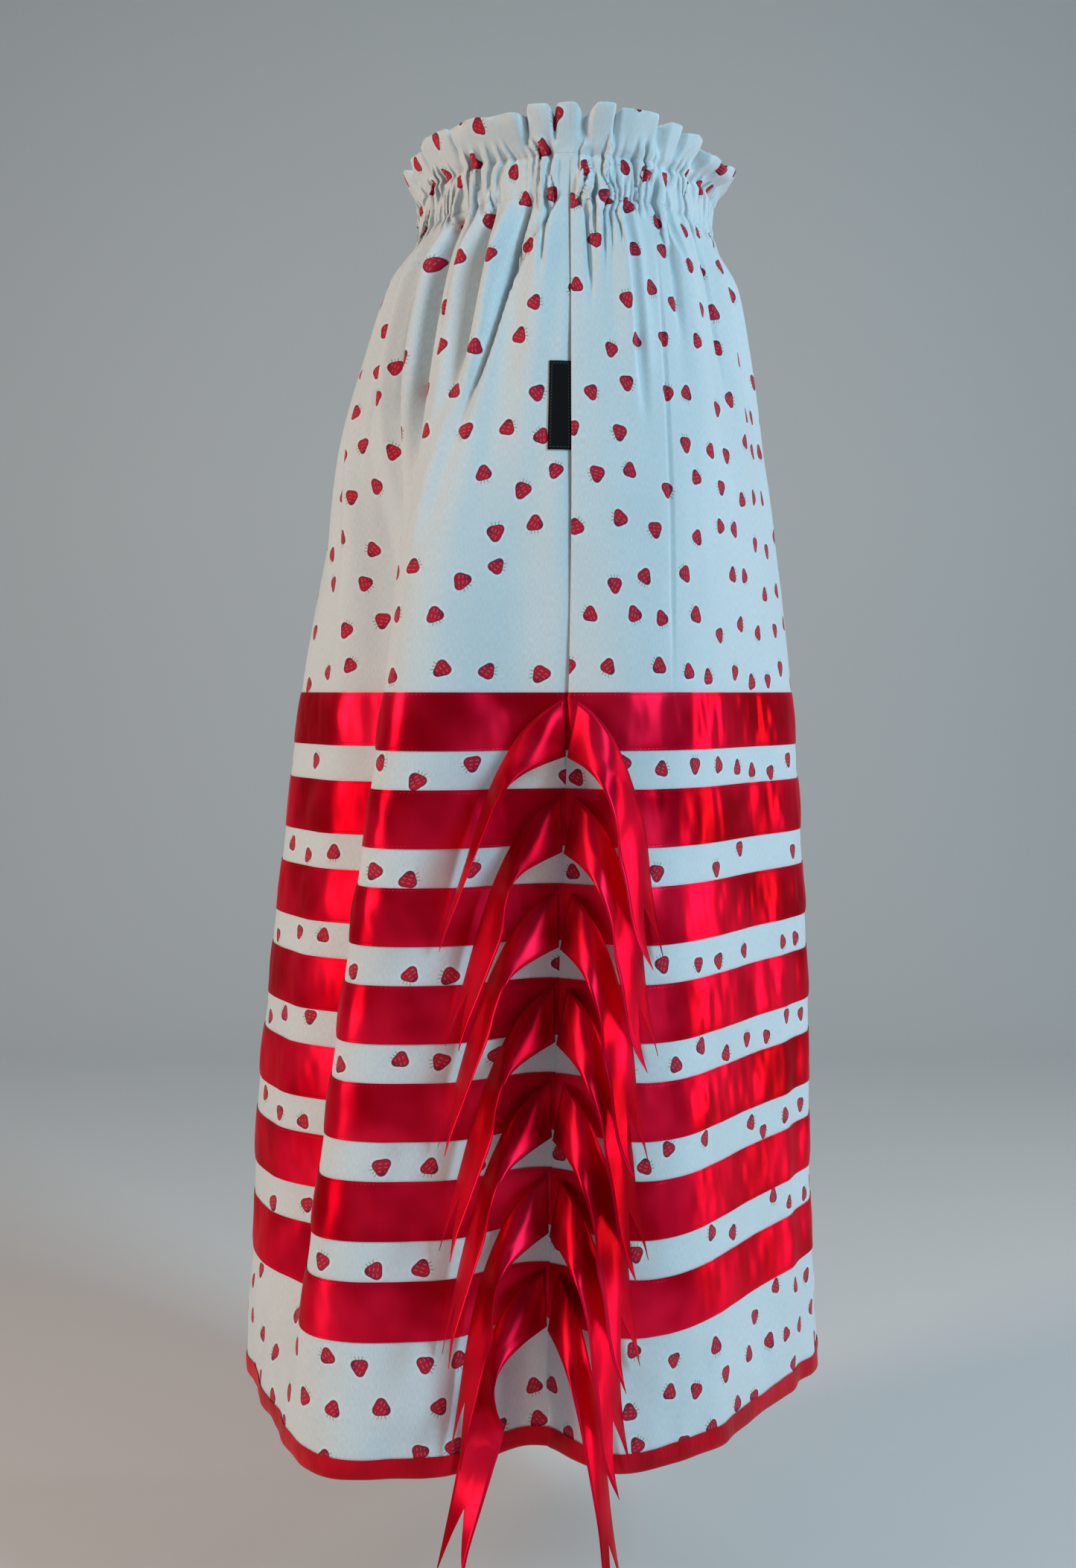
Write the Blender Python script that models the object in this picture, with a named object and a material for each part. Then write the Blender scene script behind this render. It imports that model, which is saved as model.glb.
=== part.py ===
"""Ribbon skirt: two flared cotton panels on an elastic waist, rows of satin ribbon
stitched round them, the ribbons' free ends hanging at both side seams, a bound hem.

Metres, +Z up. The front faces -Y and the wearer's left side faces +X. The origin is
the middle of the waist opening, halfway up the elastic casing. A "drop" is a distance
below that level, so the ruffle above the casing has negative drops.
"""

import math
from collections import namedtuple

import bpy
import numpy as np
from mathutils import Vector

# Driving sizes
CASING_HEIGHT = 0.030
RUFFLE_HEIGHT = 0.026
RIBBON_WIDTH = 0.0381
RIBBON_PITCH = 0.0635
RIBBON_ROWS = 7
FIRST_RIBBON_DROP = 0.352
BARE_HEM = 0.086
BINDING_HEIGHT = 0.012
LABEL_WIDTH = 0.0145
LABEL_TOP_DROP = 0.132
LABEL_LENGTH = 0.060

PANEL_WALL = 0.0014
TRIM_WALL = 0.0010
PIECE_GAP = 0.0003

# Levels worked out from them
CASING_TOP = -CASING_HEIGHT / 2
CASING_BOTTOM = CASING_HEIGHT / 2
RUFFLE_TOP = CASING_TOP - RUFFLE_HEIGHT
RIBBON_TOPS = [FIRST_RIBBON_DROP + RIBBON_PITCH * row for row in range(RIBBON_ROWS)]
HEM = RIBBON_TOPS[-1] + RIBBON_WIDTH + BARE_HEM

# Half sizes of the worn outline at some levels: to the front, to the back, to a side
Section = namedtuple("Section", "drop front back side")
SECTIONS = [
    Section(RUFFLE_TOP, 0.117, 0.118, 0.152),
    Section(CASING_TOP, 0.110, 0.109, 0.145),
    Section(CASING_BOTTOM, 0.110, 0.109, 0.145),
    Section(0.050, 0.129, 0.122, 0.156),
    Section(0.100, 0.146, 0.132, 0.165),
    Section(0.168, 0.167, 0.143, 0.175),
    Section(0.245, 0.183, 0.156, 0.183),
    Section(0.352, 0.202, 0.169, 0.190),
    Section(0.455, 0.215, 0.175, 0.195),
    Section(0.572, 0.230, 0.180, 0.199),
    Section(0.699, 0.243, 0.182, 0.203),
    Section(HEM, 0.236, 0.187, 0.207),
]

# The large folds. Bearings are in degrees from the left side seam towards the back.
# A ridge has a positive depth and a valley a negative one. A fold starts at one drop,
# is fully formed at another, and keeps the given share of its depth at the hem.
Fold = namedtuple("Fold", "bearing drift half_width depth start full hem_share")
FOLDS = [
    Fold(-5, -4, 17, -0.018, 0.22, 0.50, 1.8),
    Fold(17, 1, 15, 0.005, 0.33, 0.60, -1.0),
    Fold(49, -1, 34, -0.018, 0.12, 0.45, 1.0),
    Fold(69, 2, 8, -0.003, 0.45, 0.62, 1.0),
    Fold(103, 3, 14, 0.007, 0.20, 0.50, 1.2),
    Fold(128, 2, 24, -0.020, 0.15, 0.48, 1.0),
    Fold(158, 3, 17, 0.012, 0.30, 0.55, 1.1),
    Fold(181, 1, 15, -0.018, 0.24, 0.50, 1.4),
    Fold(217, -2, 22, 0.021, 0.14, 0.46, 0.8),
    Fold(242, -3, 19, -0.028, 0.10, 0.40, 0.3),
    Fold(266, 2, 20, 0.005, 0.16, 0.42, 0.9),
    Fold(298, -12, 36, -0.022, 0.14, 0.42, 0.0),
    Fold(313, -14, 19, -0.030, 0.10, 0.28, -0.2),
    Fold(334, -18, 21, 0.027, 0.10, 0.32, 0.8),
    Fold(325, 0, 22, 0.020, 0.64, 0.85, 1.0),
]
FOLDS_RELAX_FROM = 0.70

# Soft folds that fall from the gathers, slant a little and fade out. The place is
# counted in panels from the left side seam: 0 to 1 is the back panel, 1 to 2 the front.
Fall = namedtuple("Fall", "place drift half_width depth end")
FALLS = [
    Fall(0.09, 0.01, 0.035, 0.005, 0.20),
    Fall(0.20, 0.01, 0.040, 0.004, 0.26),
    Fall(0.31, 0.00, 0.045, 0.006, 0.30),
    Fall(0.44, -0.01, 0.040, 0.007, 0.34),
    Fall(0.57, 0.01, 0.045, 0.006, 0.31),
    Fall(0.69, 0.00, 0.040, 0.008, 0.33),
    Fall(0.80, 0.02, 0.040, 0.006, 0.28),
    Fall(0.91, -0.01, 0.035, 0.007, 0.24),
    Fall(1.08, 0.01, 0.040, 0.007, 0.27),
    Fall(1.19, 0.02, 0.045, 0.008, 0.32),
    Fall(1.30, -0.01, 0.040, 0.007, 0.35),
    Fall(1.42, 0.00, 0.045, 0.008, 0.33),
    Fall(1.54, 0.01, 0.040, 0.007, 0.34),
    Fall(1.62, -0.01, 0.035, 0.008, 0.36),
    Fall(1.695, 0.01, 0.032, 0.010, 0.38),
    Fall(1.765, -0.01, 0.030, 0.011, 0.40),
    Fall(1.833, -0.02, 0.030, 0.009, 0.30),
    Fall(1.895, -0.03, 0.030, 0.008, 0.30),
    Fall(1.962, -0.03, 0.034, 0.006, 0.26),
]
FALL_START = 0.004
FALL_FULL = 0.055

# Gathers in the casing and waves in the ruffle, for each panel. The cloth stays flat
# over a share of the panel beside each seam.
CASING_GATHERS = 25
GATHER_DEPTH = 0.0026
GATHER_FADE = 0.020
GATHER_END = 0.085
RUFFLE_WAVES = 14
RUFFLE_DEPTH = 0.0065
RUFFLE_SWELL = 0.3
FLAT_AT_SEAM = 0.022

# The side seams drift forward or back towards the hem, in degrees
SEAM_BEARING = {"left": 0.0, "right": 180.0}
SEAM_DRIFT = {"left": -5.0, "right": 2.0}
SEAM_DRIFT_START = 0.20

# The back of the hem is lifted a little, and so is the hem beside each side seam
BACK_LIFT = 0.008
SEAM_LIFT = 0.010
SEAM_LIFT_SHARE = 0.11

# Stations across one panel and their levels, in the gathered, the plain and the
# ribboned part
GATHER_STATIONS = 4 * CASING_GATHERS
GATHER_DROPS = [RUFFLE_TOP, RUFFLE_TOP + RUFFLE_HEIGHT / 2, CASING_TOP, CASING_BOTTOM, 0.034]
PLAIN_STATIONS = 2 * CASING_GATHERS
PLAIN_DROPS = [0.056, 0.090, LABEL_TOP_DROP, LABEL_TOP_DROP + LABEL_LENGTH, 0.270]
RIBBON_STATIONS = 32
OUTLINE_SAMPLES = 361

# Steps either side of a point, from which the direction of the cloth there is taken
ALONG_STEP = 0.002
SHARE_STEP = 0.004
DROP_STEP = 0.003
SHARP_ANGLE = math.radians(50)

# Free ends of the ribbons, from the seam: how far each edge lies along the cloth and
# below the ribbon's top edge, and how proud of the cloth the upper edge is. The lower
# edge stands out as far as the ribbon's width asks. The end is cut as a swallow tail
# whose notch is at the last but one station. Tails towards the front turn nearly
# edge-on, those towards the back keep more of their face.
TailStation = namedtuple("TailStation", "out_up drop_up proud_up out_low drop_low")
TAIL_STATIONS = {
    "front": [
        TailStation(0.0030, 0.0040, 0.0028, 0.0015, 0.0420),
        TailStation(0.0150, 0.0125, 0.0075, 0.0145, 0.0470),
        TailStation(0.0270, 0.0240, 0.0105, 0.0265, 0.0530),
        TailStation(0.0370, 0.0395, 0.0110, 0.0355, 0.0610),
        TailStation(0.0460, 0.0580, 0.0105, 0.0430, 0.0745),
        TailStation(0.0535, 0.0790, 0.0095, 0.0490, 0.0910),
        TailStation(0.0600, 0.1020, 0.0085, 0.0555, 0.1090),
        TailStation(0.0660, 0.1260, 0.0075, 0.0620, 0.1290),
        TailStation(0.0755, 0.1650, 0.0070, 0.0720, 0.1620),
    ],
    "back": [
        TailStation(0.0065, 0.0055, 0.0030, 0.0015, 0.0425),
        TailStation(0.0175, 0.0140, 0.0090, 0.0125, 0.0490),
        TailStation(0.0285, 0.0275, 0.0115, 0.0225, 0.0590),
        TailStation(0.0370, 0.0430, 0.0115, 0.0295, 0.0720),
        TailStation(0.0440, 0.0600, 0.0110, 0.0345, 0.0870),
        TailStation(0.0515, 0.0805, 0.0100, 0.0365, 0.1050),
        TailStation(0.0560, 0.1020, 0.0090, 0.0420, 0.1240),
        TailStation(0.0595, 0.1270, 0.0085, 0.0465, 0.1450),
        TailStation(0.0690, 0.1720, 0.0075, 0.0610, 0.1740),
    ],
}

# From this station on a tail hangs freely, with all of its row's own lean
TAIL_HANGS_FROM = 5

# How widely each row's tails spread, how far down they reach, and how much more or
# less of their face shows from the side, top row first
TailRow = namedtuple("TailRow", "spread reach face")
TAIL_ROWS = {
    ("left", "front"): [
        TailRow(1.06, 1.00, 1.0), TailRow(0.97, 1.00, 3.4), TailRow(1.00, 1.01, 2.4),
        TailRow(0.96, 1.03, 3.2), TailRow(0.95, 1.04, 2.6), TailRow(0.93, 1.06, 3.6),
        TailRow(1.05, 1.11, 4.6),
    ],
    ("left", "back"): [
        TailRow(1.02, 1.00, 1.00), TailRow(1.00, 1.00, 0.90), TailRow(0.94, 1.02, 1.00),
        TailRow(0.97, 1.02, 0.80), TailRow(0.95, 1.05, 0.95), TailRow(0.91, 1.06, 0.75),
        TailRow(0.84, 1.16, 0.30),
    ],
    ("right", "front"): [
        TailRow(1.00, 1.00, 2.2), TailRow(1.02, 1.01, 1.4), TailRow(0.97, 1.02, 2.8),
        TailRow(1.00, 1.02, 1.8), TailRow(0.94, 1.05, 2.6), TailRow(0.95, 1.05, 1.2),
        TailRow(0.92, 1.11, 2.4),
    ],
    ("right", "back"): [
        TailRow(1.06, 1.00, 0.60), TailRow(1.02, 1.01, 0.95), TailRow(1.04, 1.02, 0.80),
        TailRow(0.98, 1.03, 0.90), TailRow(0.97, 1.04, 0.70), TailRow(0.93, 1.06, 0.95),
        TailRow(0.90, 1.10, 0.85),
    ],
}

# Cloth colours and finish
COTTON = ("white printed cotton", (0.80, 0.82, 0.84, 1.0), 0.85)
SATIN = ("red satin ribbon", (0.55, 0.01, 0.03, 1.0), 0.30)
BINDING = ("red cotton binding", (0.58, 0.02, 0.03, 1.0), 0.70)
LABEL = ("black woven label", (0.02, 0.02, 0.02, 1.0), 0.75)


def smooth_step(value, start, end):
    share = np.clip((value - start) / (end - start), 0.0, 1.0)
    return share * share * (3.0 - 2.0 * share)


def bump(distance, half_width):
    """One soft round wave, 1 at its middle and 0 beyond its half width."""
    share = np.clip(np.abs(distance) / half_width, 0.0, 1.0)
    return 0.5 + 0.5 * np.cos(math.pi * share)


def section_size(drop, column):
    """A half size of the outline at any drop, on one smooth curve through SECTIONS."""
    drops = [row.drop for row in SECTIONS]
    sizes = [getattr(row, column) for row in SECTIONS]
    drop = min(max(drop, drops[0]), drops[-1])
    last = len(drops) - 1
    low = max(index for index in range(last) if drops[index] <= drop)
    high = low + 1

    def slope(index):
        before = max(index - 1, 0)
        after = min(index + 1, last)
        return (sizes[after] - sizes[before]) / (drops[after] - drops[before])

    span = drops[high] - drops[low]
    share = (drop - drops[low]) / span
    square = share * share
    cube = square * share
    return (
        (2 * cube - 3 * square + 1) * sizes[low]
        + (cube - 2 * square + share) * span * slope(low)
        + (3 * square - 2 * cube) * sizes[high]
        + (cube - square) * span * slope(high)
    )


def seam_bearing(side, drop):
    """Where a side seam lies at a drop, in degrees from the wearer's left."""
    return SEAM_BEARING[side] + SEAM_DRIFT[side] * smooth_step(drop, SEAM_DRIFT_START, HEM)


def radius(bearing, drop):
    """Distance from the middle line to the cloth, with the large folds."""
    angle = np.radians(bearing)
    depth = np.where(np.sin(angle) < 0, section_size(drop, "front"), section_size(drop, "back"))
    side = section_size(drop, "side")
    reach = 1.0 / np.sqrt((np.cos(angle) / side) ** 2 + (np.sin(angle) / depth) ** 2)
    for fold in FOLDS:
        formed = smooth_step(drop, fold.start, fold.full)
        relaxed = smooth_step(drop, FOLDS_RELAX_FROM, HEM)
        strength = fold.depth * formed * (1.0 + (fold.hem_share - 1.0) * relaxed)
        middle = fold.bearing + fold.drift * smooth_step(drop, fold.start, HEM)
        distance = (bearing - middle + 180.0) % 360.0 - 180.0
        reach = reach + strength * bump(distance, fold.half_width)
    return reach


def outline(panel, drop):
    """Points of one panel's outline at a drop, and the way walked to each."""
    left = seam_bearing("left", drop)
    right = seam_bearing("right", drop)
    start, end = {"back": (left, right), "front": (right, left + 360.0)}[panel]
    bearings = np.linspace(start, end, OUTLINE_SAMPLES)
    reach = radius(bearings, drop)
    x = reach * np.cos(np.radians(bearings))
    y = reach * np.sin(np.radians(bearings))
    steps = np.hypot(np.diff(x), np.diff(y))
    walked = np.concatenate([[0.0], np.cumsum(steps)])
    return x, y, walked


def gather(place, drop):
    """How far gathers, soft falls and ruffle waves move the cloth in or out."""
    from_seam = min(place % 1.0, 1.0 - place % 1.0)
    open_share = smooth_step(from_seam, 0.0, FLAT_AT_SEAM)
    turn = 2.0 * math.pi * place
    uneven = 0.5 * math.sin(3.0 * turn + 0.7) + 0.4 * math.sin(5.0 * turn + 2.1)
    in_casing = smooth_step(drop, RUFFLE_TOP, CASING_TOP) * (
        1.0 - smooth_step(drop, GATHER_FADE, GATHER_END)
    )
    gathers = GATHER_DEPTH * in_casing * math.cos(CASING_GATHERS * turn + uneven)
    in_ruffle = 1.0 - smooth_step(drop, RUFFLE_TOP, CASING_TOP)
    swell = 1.0 + RUFFLE_SWELL * math.sin(2.0 * turn + 1.3)
    waves = RUFFLE_DEPTH * in_ruffle * swell * math.cos(RUFFLE_WAVES * turn + 1.4 * uneven)
    falls = 0.0
    for fall in FALLS:
        middle = fall.place + fall.drift * drop / fall.end
        distance = (place - middle + 1.0) % 2.0 - 1.0
        formed = smooth_step(drop, FALL_START, FALL_FULL)
        fading = 1.0 - smooth_step(drop, FALL_FULL, fall.end)
        falls += fall.depth * formed * fading * bump(distance, fall.half_width)
    return open_share * (gathers + waves) + falls


def hem_lift(panel, share, drop):
    """The cloth near the hem rides up behind and at the side seams."""
    lifted = smooth_step(drop, FIRST_RIBBON_DROP, HEM)
    from_seam = min(share, 1.0 - share)
    lift = SEAM_LIFT * bump(from_seam, SEAM_LIFT_SHARE)
    if panel == "back":
        lift += BACK_LIFT * math.sin(math.pi * share)
    return lift * lifted


def cloth_point(panel, share, drop):
    """A point on the panel's outer face. Below the hem the outline runs straight down."""
    level = min(drop, HEM)
    x, y, walked = outline(panel, level)
    distance = share * walked[-1]
    place = {"back": 0.0, "front": 1.0}[panel] + share
    x_here = np.interp(distance, walked, x)
    y_here = np.interp(distance, walked, y)
    ahead = min(distance + ALONG_STEP, walked[-1])
    behind = max(ahead - 2 * ALONG_STEP, 0.0)
    along_x = np.interp(ahead, walked, x) - np.interp(behind, walked, x)
    along_y = np.interp(ahead, walked, y) - np.interp(behind, walked, y)
    length = math.hypot(along_x, along_y)
    out = gather(place, level)
    x_here += out * along_y / length
    y_here -= out * along_x / length
    return Vector((x_here, y_here, -drop + hem_lift(panel, share, drop)))


def cloth_normal(panel, share, drop):
    """The outward direction of the panel's face."""
    behind = max(share - SHARE_STEP, 0.0)
    ahead = min(share + SHARE_STEP, 1.0)
    above = max(drop - DROP_STEP, RUFFLE_TOP)
    below = min(drop + DROP_STEP, HEM)
    across = cloth_point(panel, ahead, drop) - cloth_point(panel, behind, drop)
    up = cloth_point(panel, share, above) - cloth_point(panel, share, below)
    return across.cross(up).normalized()


def panel_width(panel, drop):
    return outline(panel, drop)[2][-1]


def shares(stations, panel, drop):
    """Evenly spaced stations, set in from both seams by half the gap."""
    inset = PIECE_GAP / 2 / panel_width(panel, drop)
    return [inset + (1.0 - 2.0 * inset) * index / stations for index in range(stations + 1)]


def station(panel, share, drop):
    return share, cloth_point(panel, share, drop), cloth_normal(panel, share, drop)


def cloth_row(panel, drop, stations):
    """One level of a panel: the share, the point and the normal at each station."""
    return [station(panel, share, drop) for share in shares(stations, panel, drop)]


def label_share(panel, drop):
    return 1.0 - LABEL_WIDTH / panel_width(panel, drop)


def panel_rows(panel):
    """All levels of a panel from the ruffle to the hem."""
    rows = [cloth_row(panel, drop, GATHER_STATIONS) for drop in GATHER_DROPS]
    for drop in PLAIN_DROPS:
        row = cloth_row(panel, drop, PLAIN_STATIONS)
        if panel == "front":
            row[-2] = station(panel, label_share(panel, drop), drop)
        rows.append(row)
    return rows + ribbon_zone_rows(panel)


def ribbon_zone_drops():
    """Each ribbon's two edges, and the levels below the last ribbon."""
    drops = []
    for top in RIBBON_TOPS:
        drops += [top, top + RIBBON_WIDTH]
    return drops + [HEM - BARE_HEM * 0.5, HEM - BINDING_HEIGHT, HEM]


def ribbon_zone_rows(panel):
    return [cloth_row(panel, drop, RIBBON_STATIONS) for drop in ribbon_zone_drops()]


def moved(row, distance):
    return [(share, point + normal * distance) for share, point, normal in row]


def zip_rows(upper, lower):
    """Triangles between two rows of (share, vertex number), which may differ in count."""
    triangles = []
    high = 0
    low = 0
    while high < len(upper) - 1 or low < len(lower) - 1:
        step_high = low == len(lower) - 1
        if high < len(upper) - 1 and low < len(lower) - 1:
            step_high = upper[high + 1][0] < lower[low + 1][0]
        if step_high:
            triangles.append((upper[high][1], lower[low][1], upper[high + 1][1]))
            high += 1
        else:
            triangles.append((upper[high][1], lower[low][1], lower[low + 1][1]))
            low += 1
    return triangles


def wall_from_faces(outer_rows, inner_rows):
    """A closed wall between two faces, each a list of rows of (share, point)."""
    points = []

    def numbered(rows):
        result = []
        for row in rows:
            result.append([(share, len(points) + index) for index, (share, _) in enumerate(row)])
            points.extend(point for _, point in row)
        return result

    outer = numbered(outer_rows)
    inner = numbered(inner_rows)
    faces = []
    for upper, lower in zip(outer, outer[1:]):
        faces += zip_rows(upper, lower)
    for upper, lower in zip(inner, inner[1:]):
        faces += [triangle[::-1] for triangle in zip_rows(upper, lower)]

    def rim(first, second):
        for index in range(len(first) - 1):
            faces.append((first[index], first[index + 1], second[index + 1]))
            faces.append((first[index], second[index + 1], second[index]))

    rim([number for _, number in outer[0]], [number for _, number in inner[0]])
    rim([number for _, number in inner[-1]], [number for _, number in outer[-1]])
    rim([row[0][1] for row in inner], [row[0][1] for row in outer])
    rim([row[-1][1] for row in outer], [row[-1][1] for row in inner])
    return points, faces


def add_piece(name, points, faces, finish, parent):
    """One named solid with its own material."""
    mesh = bpy.data.meshes.new(name)
    mesh.from_pydata([tuple(point) for point in points], [], faces)
    mesh.update()
    mesh.shade_smooth()
    mesh.set_sharp_from_angle(angle=SHARP_ANGLE)
    colour_name, colour, roughness = finish
    material = bpy.data.materials.new(f"{colour_name} {name}")
    material.use_nodes = True
    surface = material.node_tree.nodes["Principled BSDF"]
    surface.inputs["Base Color"].default_value = colour
    surface.inputs["Roughness"].default_value = roughness
    surface.inputs["Metallic"].default_value = 0.0
    mesh.materials.append(material)
    piece = bpy.data.objects.new(name, mesh)
    bpy.context.scene.collection.objects.link(piece)
    piece.parent = parent
    return piece


def add_panel(panel, parent):
    rows = panel_rows(panel)
    outer = [moved(row, 0.0) for row in rows]
    inner = [moved(row, -PANEL_WALL) for row in rows]
    points, faces = wall_from_faces(outer, inner)
    add_piece(f"panel_{panel}", points, faces, COTTON, parent)


def add_ribbons(panel, rows, parent):
    """Each ribbon is a strip on the panel's own points, moved out."""
    for number in range(RIBBON_ROWS):
        edges = rows[2 * number:2 * number + 2]
        outer = [moved(row, PIECE_GAP + TRIM_WALL) for row in edges]
        inner = [moved(row, PIECE_GAP) for row in edges]
        points, faces = wall_from_faces(outer, inner)
        add_piece(f"ribbon_{panel}_{number + 1}", points, faces, SATIN, parent)


def add_binding(panel, rows, parent):
    """A strip folded over the raw edge: outer leaf, fold under the hem, inner leaf."""
    top, edge = rows[-2], rows[-1]
    down_in = PIECE_GAP
    down_out = PIECE_GAP + TRIM_WALL

    def leaf(distance, below):
        upper = moved(top, distance)
        lower = [(share, point - Vector((0, 0, below))) for share, point in moved(edge, distance)]
        return upper, lower

    outer_top, outer_low = leaf(PIECE_GAP + TRIM_WALL, down_out)
    outer_top_in, outer_low_in = leaf(PIECE_GAP, down_in)
    inner_top_in, inner_low_in = leaf(-PANEL_WALL - PIECE_GAP, down_in)
    inner_top, inner_low = leaf(-PANEL_WALL - PIECE_GAP - TRIM_WALL, down_out)
    outside = [outer_top, outer_low, inner_low, inner_top]
    inside = [outer_top_in, outer_low_in, inner_low_in, inner_top_in]
    points, faces = wall_from_faces(outside, inside)
    add_piece(f"hem_binding_{panel}", points, faces, BINDING, parent)


def add_label(parent):
    """A small woven tab on the front panel, its long edge along the left seam."""
    rows = []
    for drop in (LABEL_TOP_DROP, LABEL_TOP_DROP + LABEL_LENGTH):
        ends = (label_share("front", drop), shares(1, "front", drop)[-1])
        rows.append([station("front", share, drop) for share in ends])
    outer = [moved(row, PIECE_GAP + TRIM_WALL) for row in rows]
    inner = [moved(row, PIECE_GAP) for row in rows]
    points, faces = wall_from_faces(outer, inner)
    add_piece("label", points, faces, LABEL, parent)


def starts_at(side, panel):
    """Whether the panel's shares are counted from this side seam."""
    return (side, panel) in (("left", "back"), ("right", "front"))


def tail_share(side, panel, out, drop):
    """Where on the panel a point lies that is a given way from the side seam."""
    share = out / panel_width(panel, min(drop, HEM))
    return share if starts_at(side, panel) else 1.0 - share


def tail_edge_point(side, panel, out, drop, proud):
    angle = math.radians(seam_bearing(side, min(drop, HEM)))
    away = Vector((math.cos(angle), math.sin(angle), 0.0))
    return cloth_point(panel, tail_share(side, panel, out, drop), drop) + away * proud


def ribbon_seat(side, panel, edges, out, below):
    """The middle of a tail's wall where it rests on the end facet of its ribbon."""
    above_cloth = PIECE_GAP + TRIM_WALL + PIECE_GAP + TRIM_WALL / 2
    seats = []
    for edge in edges:
        ordered = edge if starts_at(side, panel) else edge[::-1]
        _, near, near_normal = ordered[0]
        _, far, far_normal = ordered[1]
        along = out / (far - near).length
        seats.append(near.lerp(far, along) + near_normal.lerp(far_normal, along) * above_cloth)
    return seats[0].lerp(seats[1], below / RIBBON_WIDTH)


def add_tail(side, panel, row, ribbon_rows, parent):
    """The free end of one ribbon: it leaves the seam, rolls outwards and hangs down."""
    shape = TAIL_ROWS[side, panel][row]
    top = RIBBON_TOPS[row]
    edges = []
    for number, place in enumerate(TAIL_STATIONS[panel]):
        hanging = float(smooth_step(number, 0, TAIL_HANGS_FROM))
        spread = 1.0 + (shape.spread - 1.0) * min(number, 1)
        reach = 1.0 + (shape.reach - 1.0) * hanging
        face = 1.0 + (shape.face - 1.0) * hanging
        out_up = place.out_up * spread
        out_low = out_up + (place.out_low - place.out_up) * face
        fall = place.drop_low - place.drop_up
        standing_out = math.sqrt(max(RIBBON_WIDTH ** 2 - fall ** 2 - (out_up - out_low) ** 2, 0.0))
        proud_low = place.proud_up + standing_out
        high = tail_edge_point(side, panel, out_up, top + place.drop_up * reach, place.proud_up)
        if number == 0:
            high = ribbon_seat(side, panel, ribbon_rows, out_up, place.drop_up)
        low = tail_edge_point(side, panel, out_low, top + place.drop_low * reach, proud_low)
        edges.append((high, low))

    faces_in_out = []
    for sign in (0.5, -0.5):
        layer = []
        for index, (high, low) in enumerate(edges):
            before = edges[max(index - 1, 0)]
            after = edges[min(index + 1, len(edges) - 1)]
            along = (after[0] + after[1]) - (before[0] + before[1])
            normal = along.cross(high - low).normalized()
            if normal.dot(Vector((high.x, high.y, 0.0))) < 0:
                normal = -normal
            offset = normal * TRIM_WALL * sign
            layer.append((high + offset, (high + low) / 2 + offset, low + offset))
        faces_in_out.append(layer)

    points = []
    numbers = []
    for layer in faces_in_out:
        lanes = []
        for index, (high, middle, low) in enumerate(layer):
            kept = (high, middle, low) if index == len(edges) - 2 else (high, low)
            lanes.append([len(points) + lane for lane in range(len(kept))])
            points.extend(kept)
        numbers.append(lanes)

    sheet = tail_triangles(numbers[0])
    back = [triangle[::-1] for triangle in tail_triangles(numbers[1])]
    border_out = tail_border(numbers[0])
    border_in = tail_border(numbers[1])
    sides = []
    for index, start in enumerate(border_out):
        end = border_out[(index + 1) % len(border_out)]
        start_in = border_in[index]
        end_in = border_in[(index + 1) % len(border_in)]
        sides += [(end, start, start_in), (end, start_in, end_in)]
    faces = sheet + back + sides
    if signed_volume(points, faces) < 0:
        faces = [face[::-1] for face in faces]
    add_piece(f"tail_{side}_{panel}_{row + 1}", points, faces, SATIN, parent)


def tail_triangles(lanes):
    """The face of a tail, with its notch between the two tips."""
    triangles = []
    for upper, lower in zip(lanes[:-2], lanes[1:-1]):
        high, low = upper
        if len(lower) == 2:
            triangles += [(high, low, lower[1]), (high, lower[1], lower[0])]
        else:
            triangles += [(high, low, lower[1]), (low, lower[2], lower[1]), (high, lower[1], lower[0])]
    high, middle, low = lanes[-2]
    tip_high, tip_low = lanes[-1]
    return triangles + [(high, middle, tip_high), (middle, low, tip_low)]


def tail_border(lanes):
    """The rim of a tail's face, in the same turning sense as its triangles."""
    down = [lane[-1] for lane in lanes]
    up = [lane[0] for lane in reversed(lanes)]
    return down + [lanes[-2][1]] + up


def signed_volume(points, faces):
    return sum(points[a].dot(points[b].cross(points[c])) for a, b, c in faces) / 6.0


def main():
    for existing in list(bpy.data.objects):
        bpy.data.objects.remove(existing)
    garment = bpy.data.objects.new("garment", None)
    bpy.context.scene.collection.objects.link(garment)
    for panel in ("front", "back"):
        rows = ribbon_zone_rows(panel)
        add_panel(panel, garment)
        add_ribbons(panel, rows, garment)
        add_binding(panel, rows, garment)
        for side in ("left", "right"):
            for row in range(RIBBON_ROWS):
                add_tail(side, panel, row, rows[2 * row:2 * row + 2], garment)
    add_label(garment)


main()
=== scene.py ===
"""The looks of the ribbon skirt: finely gathered printed cotton, satin ribbons with free
ends at both side seams, a folded red hem binding and a bare woven tab.

Metres, +Z up, the front faces -Y and the wearer's left side faces +X. A "drop" is a
distance below the middle of the elastic casing. A "place" is counted in panels from the
left side seam: 0 to 1 is the back panel and 1 to 2 the front one.
"""

import math
from collections import namedtuple

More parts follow.
